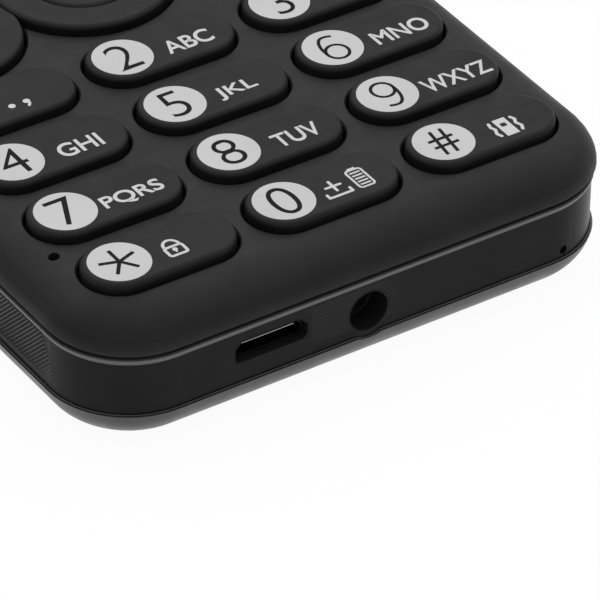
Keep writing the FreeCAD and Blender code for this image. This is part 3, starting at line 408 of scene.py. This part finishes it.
NODE_MATERIALS = {
    "front_cover": FACE_PLASTIC,
    "mid_frame": BAND_PLASTIC,
    "back_cover": BACK_PLASTIC,
    "display_window": WINDOW_ACRYLIC,
    "earpiece_grille": STEEL,
    "housing_screws": STEEL,
    "nav_ring": KEY_PLASTIC,
    "ok_key": KEY_PLASTIC,
    "nav_pad": INNER_PLASTIC,
    "key_mat": SILICONE,
    "dome_sheet": DOME_FILM,
    "main_board": BOARD_LACQUER,
    "lcd_module": SCREEN_GLASS,
    "earpiece_speaker": INNER_PLASTIC,
    "microphone": STEEL,
    "mic_boot": SILICONE,
    "micro_usb_socket": SHADED_PORT_STEEL,
    "audio_jack_socket": INNER_PLASTIC,
    "camera_module": INNER_PLASTIC,
    "camera_lens": LENS_ACRYLIC,
    "flash_lens": LENS_ACRYLIC,
    "loudspeaker": INNER_PLASTIC,
    "vibration_motor": STEEL,
    "antenna": INNER_PLASTIC,
    "shield_can_upper": STEEL,
    "shield_can_lower": STEEL,
    "battery": CELL_WRAP,
    "battery_contacts": INNER_PLASTIC,
    "sim_holder_1": STEEL,
    "sim_holder_2": STEEL,
    "memory_card_holder": STEEL,
}


def dress_nodes():
    """Gives every carried-over piece of the case its material."""
    for name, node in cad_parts.items():
        node.data.materials.clear()
        node.data.materials.append(NODE_MATERIALS.get(name, KEY_PLASTIC))


# ----------------------------------------------------------------------------
# Shapes
# ----------------------------------------------------------------------------

def piece_from(name, mesh, body, material):
    """Object in the scene that carries a finished mesh on a body of the phone."""
    piece = bpy.data.objects.new(name, mesh)
    bpy.context.scene.collection.objects.link(piece)
    mesh.materials.clear()
    mesh.materials.append(material)
    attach(piece, body)
    return piece


def finished(shape, name, join=JOIN):
    """Mesh of a bmesh, with points closer than join merged and its normals outwards."""
    bmesh.ops.remove_doubles(shape, verts=shape.verts, dist=join)
    bmesh.ops.recalc_face_normals(shape, faces=shape.faces)
    mesh = bpy.data.meshes.new(name)
    shape.to_mesh(mesh)
    shape.free()
    return mesh


def add_disc(shape, radius, centre, low, high, segments=DISC_SEGMENTS):
    """Adds a thin upright disc."""
    lift = Matrix.Translation(mm(centre[0], centre[1], (low + high) / 2))
    bmesh.ops.create_cone(shape, cap_ends=True, segments=segments, radius1=radius * MM,
                          radius2=radius * MM, depth=(high - low) * MM, matrix=lift)


def add_bar(shape, start, end, width, low, high):
    """Adds a flat bar between two points of the plane."""
    run = Vector(end) - Vector(start)
    middle = (Vector(start) + Vector(end)) / 2
    turn = Matrix.Rotation(math.atan2(run.y, run.x), 4, "Z")
    size = Matrix.Diagonal((run.length * MM, width * MM, (high - low) * MM, 1))
    place = Matrix.Translation(mm(middle.x, middle.y, (low + high) / 2))
    bmesh.ops.create_cube(shape, size=1.0, matrix=place @ turn @ size)


def disc_centre(key):
    """Centre of the printed disc and the height of the key's top, in millimetres."""
    low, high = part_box(key)
    return (low.x + high.x) / 2 / MM + DISC_SHIFT, (low.y + high.y) / 2 / MM, high.z / MM


# ----------------------------------------------------------------------------
# Print on the keys
# ----------------------------------------------------------------------------

def mesh_of_curve(name, curve, join=JOIN):
    """Closed mesh of a text or a thick curve."""
    holder = bpy.data.objects.new(name, curve)
    bpy.context.scene.collection.objects.link(holder)
    bpy.context.view_layer.update()
    solved = holder.evaluated_get(bpy.context.evaluated_depsgraph_get())
    drawn = bpy.data.meshes.new_from_object(solved)
    bpy.data.objects.remove(holder)
    bpy.data.curves.remove(curve)
    shape = bmesh.new()
    shape.from_mesh(drawn)
    bpy.data.meshes.remove(drawn)
    return finished(shape, name, join)


def word_mesh(name, words):
    """Flat mesh of some words, in the font's own units."""
    curve = bpy.data.curves.new(name, "FONT")
    curve.body = words
    curve.extrude = WORD_HALF_DEPTH
    return mesh_of_curve(name, curve, FONT_JOIN)


def tubes(name, lines, radius, resolution=1):
    """Mesh of thin round beads along lines of points in millimetres, each line closed or open."""
    curve = bpy.data.curves.new(name, "CURVE")
    curve.dimensions = "3D"
    curve.bevel_depth = radius * MM
    curve.bevel_resolution = resolution
    curve.use_fill_caps = True
    for points, closed in lines:
        line = curve.splines.new("POLY")
        line.points.add(len(points) - 1)
        for point, place in zip(line.points, points):
            point.co = (*mm(*place), 1)
        line.use_cyclic_u = closed
    return mesh_of_curve(name, curve)


def weighted(mesh, amount):
    """Moves the edges of flat letters outwards by some millimetres, or inwards below zero."""
    for vertex in mesh.vertices:
        outward = Vector((vertex.normal.x, vertex.normal.y, 0))
        vertex.co += outward.normalized() * amount * MM
    return mesh


def extent(mesh, axis):
    """Lowest and highest place of a mesh on one axis."""
    values = [vertex.co[axis] for vertex in mesh.vertices]
    return min(values), max(values)


def fit_flat(mesh, low, high, foot):
    """Scales a word mesh into the box from low to high, a print's thickness above foot."""
    left, right = extent(mesh, 0)
    bottom, top = extent(mesh, 1)
    scale_x = (high[0] - low[0]) / (right - left)
    scale_y = (high[1] - low[1]) / (top - bottom)
    size = Matrix.Diagonal((scale_x * MM, scale_y * MM, PRINT_THICKNESS * MM, 1))
    start = Matrix.Translation((-left, -bottom, WORD_HALF_DEPTH))
    mesh.transform(Matrix.Translation(mm(low[0], low[1], foot)) @ size @ start)
    return mesh


def print_disc(key):
    """Prints a key's pale disc."""
    x, y, top = disc_centre(key)
    shape = bmesh.new()
    add_disc(shape, DISC_RADIUS, (x, y), top, top + PRINT_THICKNESS)
    mesh = finished(shape, key + "_disc")
    piece_from(key + "_disc", mesh, key, DISC_PAINT)


def print_digit(key, digit):
    """Prints a digit in the middle of its disc."""
    x, y, top = disc_centre(key)
    mesh = word_mesh(key + "_digit", digit)
    left, right = extent(mesh, 0)
    bottom, upper = extent(mesh, 1)
    height = ZERO_HEIGHT if digit == "0" else DIGIT_HEIGHT
    half_width = (right - left) / (upper - bottom) * height / 2
    half_height = height / 2
    fit_flat(mesh, (x - half_width, y - half_height), (x + half_width, y + half_height),
             top + PRINT_THICKNESS)
    piece_from(key + "_digit", weighted(mesh, DIGIT_WEIGHT), key, DIGIT_PAINT)


def print_letters(key, words, start, end):
    """Prints a key's letters between two distances from the disc's centre."""
    x, y, top = disc_centre(key)
    mesh = word_mesh(key + "_letters", words)
    low = y + LETTER_BASELINE
    fit_flat(mesh, (x + start, low), (x + end, low + LETTER_HEIGHT), top)
    piece_from(key + "_letters", weighted(mesh, LETTER_WEIGHT), key, LETTER_PAINT)


def print_strokes(key, name, strokes, width, layer, material, round_ends=True):
    """Prints straight strokes placed from the disc's centre, each a hair above the one before."""
    x, y, top = disc_centre(key)
    low = top + layer * PRINT_THICKNESS
    shape = bmesh.new()
    for number, (start, end) in enumerate(strokes):
        high = low + PRINT_THICKNESS + 3 * number * STROKE_STEP
        a = (x + start[0], y + start[1])
        b = (x + end[0], y + end[1])
        add_bar(shape, a, b, width, low, high)
        if round_ends:
            add_disc(shape, width / 2, a, low, high + STROKE_STEP, STROKE_END_SEGMENTS)
            add_disc(shape, width / 2, b, low, high + 2 * STROKE_STEP, STROKE_END_SEGMENTS)
    mesh = finished(shape, name)
    piece_from(name, mesh, key, material)


def print_lines(key, name, lines, width, layer, material):
    """Prints smooth lines placed from the disc's centre, as flattened round beads of paint."""
    x, y, top = disc_centre(key)
    flat = [([(across, up, 0) for across, up in points], closed) for points, closed in lines]
    mesh = tubes(name, flat, width / 2, BEAD_SMOOTH)
    squash = Matrix.Diagonal((1, 1, 2 * PRINT_THICKNESS / width, 1))
    mesh.transform(Matrix.Translation(mm(x, y, top + layer * PRINT_THICKNESS)) @ squash)
    piece_from(name, mesh, key, material)


def print_plates(key, name, plates):
    """Prints upright rectangles given as (left, foot, right, top) from the disc's centre."""
    x, y, top = disc_centre(key)
    shape = bmesh.new()
    for left, foot, right, head in plates:
        middle = y + (foot + head) / 2
        add_bar(shape, (x + left, middle), (x + right, middle), head - foot, top,
                top + PRINT_THICKNESS)
    mesh = finished(shape, name)
    piece_from(name, mesh, key, LETTER_PAINT)


def chain(points):
    """Strokes that join points one after another."""
    return list(zip(points, points[1:]))


def arc(centre, radius_x, radius_y, start, finish, steps=12):
    """Points along an ellipse between two angles in degrees."""
    angles = [math.radians(start + (finish - start) * step / steps) for step in range(steps + 1)]
    return [(centre[0] + radius_x * math.cos(angle), centre[1] + radius_y * math.sin(angle))
            for angle in angles]


def rounded_box(left, foot, right, top, radius):
    """Points around a box with rounded corners."""
    corners = ((right, top, 0), (left, top, 90), (left, foot, 180), (right, foot, 270))
    points = []
    for x, y, turn in corners:
        centre = (x + (radius if x == left else -radius), y + (radius if y == foot else -radius))
        points += arc(centre, radius, radius, turn, turn + 90, BOX_CORNER_STEPS)
    return points


def nine_lines(turn=1):
    """Lines of a nine with a round tail, or of a six when it is turned the other way up."""
    bowl = arc((-0.02, 0.8), 1.13, 1.17, 0, 345, 23)
    tail = [(1.11, 0.8)] + arc((0, 0.3), 1.11, 2.2, 0, -90) + [(-0.45, -1.87), (-0.9, -1.7)]
    return [([(turn * x, turn * y) for x, y in points], closed)
            for points, closed in ((bowl, True), (tail, False))]


def print_padlock(key):
    """Prints a closed padlock with its keyhole."""
    body = rounded_box(4.36, -1.86, 6.19, -0.52, 0.25)
    print_lines(key, "padlock_body", [(body, True)], PADLOCK_STROKE, 0, LETTER_PAINT)
    shackle = arc((5.27, -0.5), 0.8, 0.98, 180, 0)
    print_lines(key, "padlock_shackle", [(shackle, False)], SHACKLE_STROKE, 0, LETTER_PAINT)
    hole = [((5.25, -1.02), (5.24, -1.06))]
    print_strokes(key, "padlock_keyhole", hole, KEYHOLE_WIDTH, 0, LETTER_PAINT)
    slot = [((5.24, -1.1), (5.22, -1.4))]
    print_strokes(key, "padlock_slot", slot, KEYHOLE_SLOT, 0, LETTER_PAINT)


def print_plus_and_space(key):
    """Prints a plus above the sign for a space."""
    strokes = [((5.02, 0.3), (5.02, -1.25)), ((4.25, -0.47), (5.8, -0.49))]
    strokes += chain([(3.76, -1.45), (3.76, -2.0), (6.24, -2.0), (6.24, -1.45)])
    print_strokes(key, "plus_and_space", strokes, PLUS_STROKE, 0, LETTER_PAINT)


def print_battery(key):
    """Prints an upright battery with its charge bars and its cap."""
    case = rounded_box(7.11, -2.06, 8.72, 0.77, 0.3)
    print_lines(key, "battery_case", [(case, True)], BATTERY_STROKE, 0, LETTER_PAINT)
    rises = [BATTERY_BAR_PITCH * bar for bar in range(BATTERY_BARS)]
    bars = [(7.37, -1.73 + rise, 8.45, -1.51 + rise) for rise in rises]
    print_plates(key, "battery_bars", bars + [(7.5, 0.8, 8.33, 1.08)])


def print_vibration(key):
    """Prints a small shaking phone."""
    plates = [(5.6, -0.4, 6.95, 0.33), (5.6, -2.45, 6.95, -0.97),
              (5.6, -0.97, 5.96, -0.4), (6.57, -0.97, 6.95, -0.4)]
    print_plates(key, "vibration_phone", plates)
    left = [(5.08, 0.05), (4.95, -0.52), (5.14, -1.0), (4.87, -1.64), (5.07, -2.15)]
    right = [(7.47, 0.02), (7.67, -0.45), (7.41, -1.05), (7.66, -1.62), (7.42, -2.2)]
    waves = chain(left) + chain(right)
    print_strokes(key, "vibration_waves", waves, WAVE_STROKE, 0, LETTER_PAINT)


def print_dot_and_comma(key):
    """Prints a full stop and a comma."""
    heads = [((4.6, -1.42), (4.66, -1.42)), ((6.18, -1.4), (6.24, -1.4))]
    print_strokes(key, "dot_and_comma_heads", heads, DOT_WIDTH, 0, LETTER_PAINT)
    tail = chain([(6.36, -1.5), (6.32, -1.85), (6.08, -2.15)])
    print_strokes(key, "comma_tail", tail, COMMA_STROKE, 0, LETTER_PAINT)


def star_strokes():
    """Arms of the star, from its middle."""
    turns = [math.radians(360 / STAR_ARMS * arm) for arm in range(STAR_ARMS)]
    return [((0, 0), (STAR_REACH * math.sin(turn), STAR_REACH * math.cos(turn))) for turn in turns]


def hash_strokes():
    """Two leaning uprights and two rails."""
    places = (-HASH_GAP, HASH_GAP)
    uprights = [((x - HASH_LEAN, -HASH_HALF), (x + HASH_LEAN, HASH_HALF)) for x in places]
    rails = [((-HASH_RAIL, y), (HASH_RAIL, y)) for y in places]
    return uprights + rails


def print_keys():
    """Prints every number key."""
    for key in NUMBER_KEYS:
        print_disc(key)
    for key, digit in DIGITS.items():
        print_digit(key, digit)
    for key, (words, start, end) in LETTERS.items():
        print_letters(key, words, start, end)
    print_lines("key_9", "key_9_digit", nine_lines(), DRAWN_DIGIT_STROKE, 1, DIGIT_PAINT)
    print_lines("key_6", "key_6_digit", nine_lines(-1), DRAWN_DIGIT_STROKE, 1, DIGIT_PAINT)
    print_strokes("key_star", "star", star_strokes(), STAR_STROKE, 1, DIGIT_PAINT,
                  round_ends=False)
    print_strokes("key_hash", "hash", hash_strokes(), DRAWN_DIGIT_STROKE, 1, DIGIT_PAINT,
                  round_ends=False)
    print_padlock("key_star")
    print_plus_and_space("key_0")
    print_battery("key_0")
    print_vibration("key_hash")
    print_dot_and_comma("key_1")


# ----------------------------------------------------------------------------
# Trim of the case
# ----------------------------------------------------------------------------

def add_rounded_plate(shape, inset, low, high):
    """Makes an empty shape a plate of the body's outline, inset all round."""
    height = (high - low) * MM
    size = Matrix.Diagonal((2 * (HALF_X - inset) * MM, 2 * (HALF_Y - inset) * MM, height, 1))
    lift = Matrix.Translation(mm(0, 0, (low + high) / 2))
    bmesh.ops.create_cube(shape, size=1.0, matrix=lift @ size)
    corners = [edge for edge in shape.edges
               if abs(edge.verts[0].co.z - edge.verts[1].co.z) > 0.5 * height]
    bmesh.ops.bevel(shape, geom=corners, offset=(BODY_CORNER - inset) * MM,
                    offset_type="OFFSET", segments=PLATE_CORNER_SEGMENTS, profile=0.5,
                    affect="EDGES", material=-1)


def make_gap_strip():
    """Dark strip that closes the bottom of the gap under the front cover."""
    shape = bmesh.new()
    add_rounded_plate(shape, GAP_STRIP_INSET, GAP_FOOT, GAP_TOP)
    caps = [face for face in shape.faces if abs(face.normal.z) > 0.9]
    bmesh.ops.inset_region(shape, faces=caps, thickness=GAP_STRIP_WALL * MM, use_even_offset=True)
    rims = [edge for cap in caps for edge in cap.edges]
    bmesh.ops.delete(shape, geom=caps, context="FACES_ONLY")
    bmesh.ops.bridge_loops(shape, edges=rims)
    mesh = finished(shape, "gap_strip")
    piece_from("gap_strip", mesh, "housing", INNER_PLASTIC)


def lip_height(x, y):
    """Height of the back cover's lip, lower where it passes under the headphone hole."""
    height = SEAM_HEIGHT + LIP_RISE
    if y < 0 and abs(x) < DIP_RADIUS:
        return min(height, JACK_HEIGHT - math.sqrt(DIP_RADIUS ** 2 - x ** 2))
    return height


def make_seam_lip():
    """Fine raised lip along the back cover's edge."""
    radius = BODY_CORNER - LIP_INSET
    plan = []
    for turn, side_x, side_y in ((-90, 1, -1), (0, 1, 1), (90, -1, 1), (180, -1, -1)):
        centre = (side_x * (HALF_X - BODY_CORNER), side_y * (HALF_Y - BODY_CORNER))
        plan += arc(centre, radius, radius, turn, turn + 90, LIP_CORNER_STEPS)
    dip = [(-DIP_RADIUS + DIP_RADIUS * step / DIP_STEPS, LIP_INSET - HALF_Y)
           for step in range(2 * DIP_STEPS + 1)]
    points = [(x, y, lip_height(x, y)) for x, y in plan + dip]
    mesh = tubes("seam_lip", [(points, True)], LIP_RADIUS)
    piece_from("seam_lip", mesh, "back_cover", BACK_PLASTIC)


def mouth_outline(grow=0.0):
    """Points of the USB mouth's outline, from its lower left corner anticlockwise."""
    left, right = MOUTH_LEFT - grow, MOUTH_RIGHT + grow
    foot, top = MOUTH_FOOT - grow, MOUTH_TOP + grow
    corners = ((left, foot, 180), (right, foot, 270), (right, top, 0), (left, top, 90))
    points = []
    for (x, z, turn), radius in zip(corners, MOUTH_CORNERS):
        centre = (x + (radius if x == left else -radius), z + (radius if z == foot else -radius))
        points += arc(centre, radius, radius, turn, turn + 90, MOUTH_CORNER_STEPS)
    return points


def add_loop(shape, points):
    """Adds a closed loop of edges through points in millimetres."""
    vertices = [shape.verts.new(mm(*point)) for point in points]
    return [shape.edges.new(pair) for pair in zip(vertices, vertices[1:] + vertices[:1])]


def make_usb_mouth():
    """Rounded collar that fills the corners of the USB opening, with a fine rim around it."""
    shape = bmesh.new()
    inner = add_loop(shape, [(x, END_WALL + COLLAR_SUNK, z) for x, z in mouth_outline()])
    outer = add_loop(shape, [(x, END_WALL + COLLAR_SUNK, z) for x, z in mouth_outline(MOUTH_FILL)])
    front = bmesh.ops.bridge_loops(shape, edges=inner + outer)["faces"]
    back = bmesh.ops.extrude_face_region(shape, geom=front)["geom"]
    bmesh.ops.translate(shape, vec=mm(0, MOUTH_DEPTH, 0),
                        verts=[part for part in back if isinstance(part, bmesh.types.BMVert)])
    piece_from("usb_collar", finished(shape, "usb_collar"), "housing", BAND_PLASTIC)
    line = [(x, END_WALL, z) for x, z in mouth_outline(RIM_RADIUS)]
    rim = tubes("usb_rim", [(line, True)], RIM_RADIUS)
    piece_from("usb_rim", rim, "housing", BAND_PLASTIC)


def make_jack_rim():
    """Fine rim around the headphone hole."""
    radius = JACK_MOUTH + RIM_RADIUS
    turn = arc((0, JACK_HEIGHT), radius, radius, 0, 360, RIM_STEPS)[:-1]
    circle = [(x, END_WALL, z) for x, z in turn]
    rim = tubes("jack_rim", [(circle, True)], RIM_RADIUS)
    piece_from("jack_rim", rim, "housing", BAND_PLASTIC)


def make_socket_edge():
    """Front edge of the socket's shell under the top of the opening, in plain bright steel,
    against the rest of the socket whose steel is painted dark as shade.
    """
    shape = bmesh.new()
    depth = MOUTH_DEPTH - EDGE_SUNK
    middle = mm((MOUTH_LEFT + MOUTH_RIGHT) / 2 - EDGE_SHIFT, END_WALL + EDGE_SUNK + depth / 2,
                MOUTH_TOP - EDGE_DROP)
    size = Matrix.Diagonal((EDGE_LENGTH * MM, depth * MM, EDGE_HEIGHT * MM, 1))
    bmesh.ops.create_cube(shape, size=1.0, matrix=Matrix.Translation(middle) @ size)
    bmesh.ops.bevel(shape, geom=shape.edges[:], offset=EDGE_ROUND * MM, segments=2, profile=0.5,
                    affect="EDGES", material=-1)
    piece_from("socket_edge", finished(shape, "socket_edge"), "housing", STEEL)


def add_rib(shape, start, finish, outward, relief, width):
    """Adds a ridge between two points of a wall, standing out of it by its relief."""
    along = Vector(finish) - Vector(start)
    across = along.normalized().cross(outward)
    frame_of_rib = Matrix((outward, along.normalized(), across)).transposed().to_4x4()
    section = Matrix.Diagonal((relief * math.sqrt(2), along.length, width / math.sqrt(2), 1))
    ridge = Matrix.Rotation(math.radians(45), 4, "Y")
    middle = (Vector(start) + Vector(finish)) / 2
    place = Matrix.Translation(middle * MM) @ Matrix.Scale(MM, 4)
    bmesh.ops.create_cube(shape, size=1.0, matrix=place @ frame_of_rib @ section @ ridge)


def rib_span(foot):
    """Lowest and highest height of the rib that starts at this place along the side."""
    reach = RIB_TOP - RIB_FOOT
    lowest = max(0.0, (foot - RIB_END) / (1 - RIB_END_LEAN))
    highest = min(reach, (foot + RIB_END) / (1 + RIB_END_LEAN))
    return lowest, highest


def side_wall(y):
    """Distance of the band's side wall from the body's middle, less where the corner begins."""
    radius = BODY_CORNER - BAND_INSET
    past = max(0.0, abs(y) - (HALF_Y - BODY_CORNER))
    return HALF_X - BAND_INSET - radius + math.sqrt(radius ** 2 - past ** 2)


def add_side_lines(shape, side, shift, relief, width):
    """Adds the slanted lines of one long side, which rise to the port end and fade at the ends."""
    for line in range(int((2 * RIB_END + RIB_TOP - RIB_FOOT) / RIB_PITCH)):
        foot = (line + shift) * RIB_PITCH - RIB_END
        lowest, highest = rib_span(foot)
        if highest - lowest < RIB_PITCH:
            continue
        ends = [(side * side_wall(foot - rise), foot - rise, RIB_FOOT + rise)
                for rise in (lowest, highest)]
        room = RIB_END - abs(foot - (lowest + highest) / 2)
        share = min(1.0, room / RIB_FADE)
        add_rib(shape, ends[0], ends[1], Vector((side, 0, 0)), relief * share, width * share)


def make_side_ribs():
    """Ribs of both long sides, with a dark stripe of painted shade between each two."""
    for side, name in ((-1, "left"), (1, "right")):
        for kind, shift, relief, width, material in (
                ("_ribs", 0.0, RIB_RELIEF, RIB_WIDTH, RIB_PLASTIC),
                ("_shade_stripes", 0.5, SHADE_STRIPE_RELIEF, SHADE_STRIPE_WIDTH, SHADE_STRIPE_PAINT)):
            shape = bmesh.new()
            add_side_lines(shape, side, shift, relief, width)
            mesh = finished(shape, name + kind)
            piece_from(name + kind, mesh, "housing", material)


def clear_of_ports(x, z):
    """True where the band's end wall has no port."""
    above_socket = USB_LEFT - USB_CLEAR < x < USB_RIGHT + USB_CLEAR
    return math.hypot(x, z - JACK_HEIGHT) > JACK_CLEAR and not (above_socket and z < USB_CLEAR_TOP)


def add_hatch_line(shape, foot, lean, relief):
    """Adds one slanted line of the hatch, broken where it would cross a port."""
    reach = HATCH_TOP - HATCH_FOOT
    run = []
    for step in range(HATCH_STEPS + 2):
        rise = reach * step / HATCH_STEPS
        x, z = foot + lean * rise, HATCH_FOOT + rise
        if step <= HATCH_STEPS and HATCH_LEFT <= x <= HATCH_RIGHT and clear_of_ports(x, z):
            run.append((x, END_WALL, z))
            continue
        if len(run) > 2:
            middle = (run[0][0] + run[-1][0]) / 2
            room = min(middle - HATCH_LEFT, HATCH_RIGHT - middle)
            share = min(1.0, room / HATCH_FADE + HATCH_FAINTEST)
            add_rib(shape, run[0], run[-1], Vector((0, -1, 0)), relief * share, RIB_WIDTH * share)
        run = []


def make_port_hatch():
    """Faint crossed ribs between and above the ports."""
    shape = bmesh.new()
    reach = HATCH_TOP - HATCH_FOOT
    for lean, relief in ((-1, HATCH_RELIEF), (1, HATCH_RELIEF * HATCH_CROSS_SHARE)):
        first = HATCH_LEFT - max(0, lean) * reach
        for rib in range(int((HATCH_RIGHT - HATCH_LEFT + reach) / RIB_PITCH)):
            add_hatch_line(shape, first + rib * RIB_PITCH, lean, relief)
    mesh = finished(shape, "port_hatch")
    piece_from("port_hatch", mesh, "housing", HATCH_PLASTIC)


# ----------------------------------------------------------------------------
# Floor, light and camera
# ----------------------------------------------------------------------------

def paper(name):
    """White paper that keeps the phone's soft shadow and looks white, also in reflections."""
    made, tree, shader = node_material(name)
    mottled(tree, shader, grey(FLOOR_WHITE), FLOOR_VARIATION, FLOOR_PATCH_SIZE)
    shader.inputs["Roughness"].default_value = FLOOR_ROUGHNESS
    shader.inputs["Specular IOR Level"].default_value = 0.0
    rays = tree.nodes.new("ShaderNodeLightPath")
    glow = tree.nodes.new("ShaderNodeEmission")
    seen = rays.outputs["Is Camera Ray"]
    for other in ("Is Glossy Ray", "Is Transmission Ray"):
        seen = combined(tree, "MAXIMUM", seen, rays.outputs[other])
    share = combined(tree, "MULTIPLY", seen, FLOOR_GLOW)
    mix = tree.nodes.new("ShaderNodeMixShader")
    tree.links.new(share, mix.inputs["Fac"])
    tree.links.new(shader.outputs["BSDF"], mix.inputs[1])
    tree.links.new(glow.outputs["Emission"], mix.inputs[2])
    tree.links.new(mix.outputs["Shader"], tree.nodes["Material Output"].inputs["Surface"])
    return made


def make_floor():
    """Wide floor just under the phone."""
    shape = bmesh.new()
    bmesh.ops.create_grid(shape, x_segments=1, y_segments=1, size=FLOOR_SIZE / 2 * MM,
                          matrix=Matrix.Translation(mm(0, 0, -FLOOR_DROP)))
    mesh = finished(shape, "floor")
    mesh.materials.append(paper("floor_paper"))
    floor = bpy.data.objects.new("floor", mesh)
    bpy.context.scene.collection.objects.link(floor)


def make_world():
    """Soft studio room, bright above and behind the phone, darker in front and low down."""
    world = bpy.data.worlds.new("studio")
    bpy.context.scene.world = world
    world.use_nodes = True
    tree = world.node_tree
    place = tree.nodes.new("ShaderNodeTexCoord")
    along = tree.nodes.new("ShaderNodeVectorMath")
    along.operation = "DOT_PRODUCT"
    along.inputs[1].default_value = SKY_BEHIND
    tree.links.new(place.outputs["Generated"], along.inputs[0])
    split = tree.nodes.new("ShaderNodeSeparateXYZ")
    tree.links.new(place.outputs["Generated"], split.inputs["Vector"])
    level = map_range(tree, along.outputs["Value"], (SKY_SPREAD, 1.0), (SKY_DARK, SKY_BRIGHT),
                      smooth=True)
    haze = map_range(tree, split.outputs["Z"], (0.0, HORIZON_TOP), (HORIZON_SHARE, 1.0),
                     smooth=True)
    sky = tree.nodes["Background"]
    sky.inputs["Color"].default_value = (1, 1, 1, 1)
    tree.links.new(combined(tree, "MULTIPLY", level, haze), sky.inputs["Strength"])


def make_camera():
    """Camera above the port end, looking along the phone."""
    azimuth = math.radians(VIEW_AZIMUTH)
    elevation = math.radians(VIEW_ELEVATION)
    back = Vector((math.sin(azimuth) * math.cos(elevation),
                   -math.cos(azimuth) * math.cos(elevation), math.sin(elevation)))
    right = Vector((math.cos(azimuth), math.sin(azimuth), 0))
    up = back.cross(right)
    level = Matrix((right, up, back)).transposed()
    turned = level @ Matrix.Rotation(math.radians(VIEW_ROLL), 3, "Z")
    camera = bpy.data.cameras.new("camera")
    camera.lens = VIEW_LENS
    camera.sensor_width = VIEW_SENSOR
    camera.clip_start = 0.01
    camera.clip_end = 100
    holder = bpy.data.objects.new("camera", camera)
    place = Matrix.Translation(mm(*VIEW_TARGET) + back * VIEW_DISTANCE * MM)
    holder.matrix_world = place @ turned.to_4x4()
    bpy.context.scene.collection.objects.link(holder)
    bpy.context.scene.camera = holder


# ----------------------------------------------------------------------------
# The scene
# ----------------------------------------------------------------------------

dress_nodes()
print_keys()
make_gap_strip()
make_seam_lip()
make_usb_mouth()
make_jack_rim()
make_socket_edge()
make_side_ribs()
make_port_hatch()
make_floor()
make_world()
make_camera()
bpy.context.scene.view_settings.view_transform = "Standard"
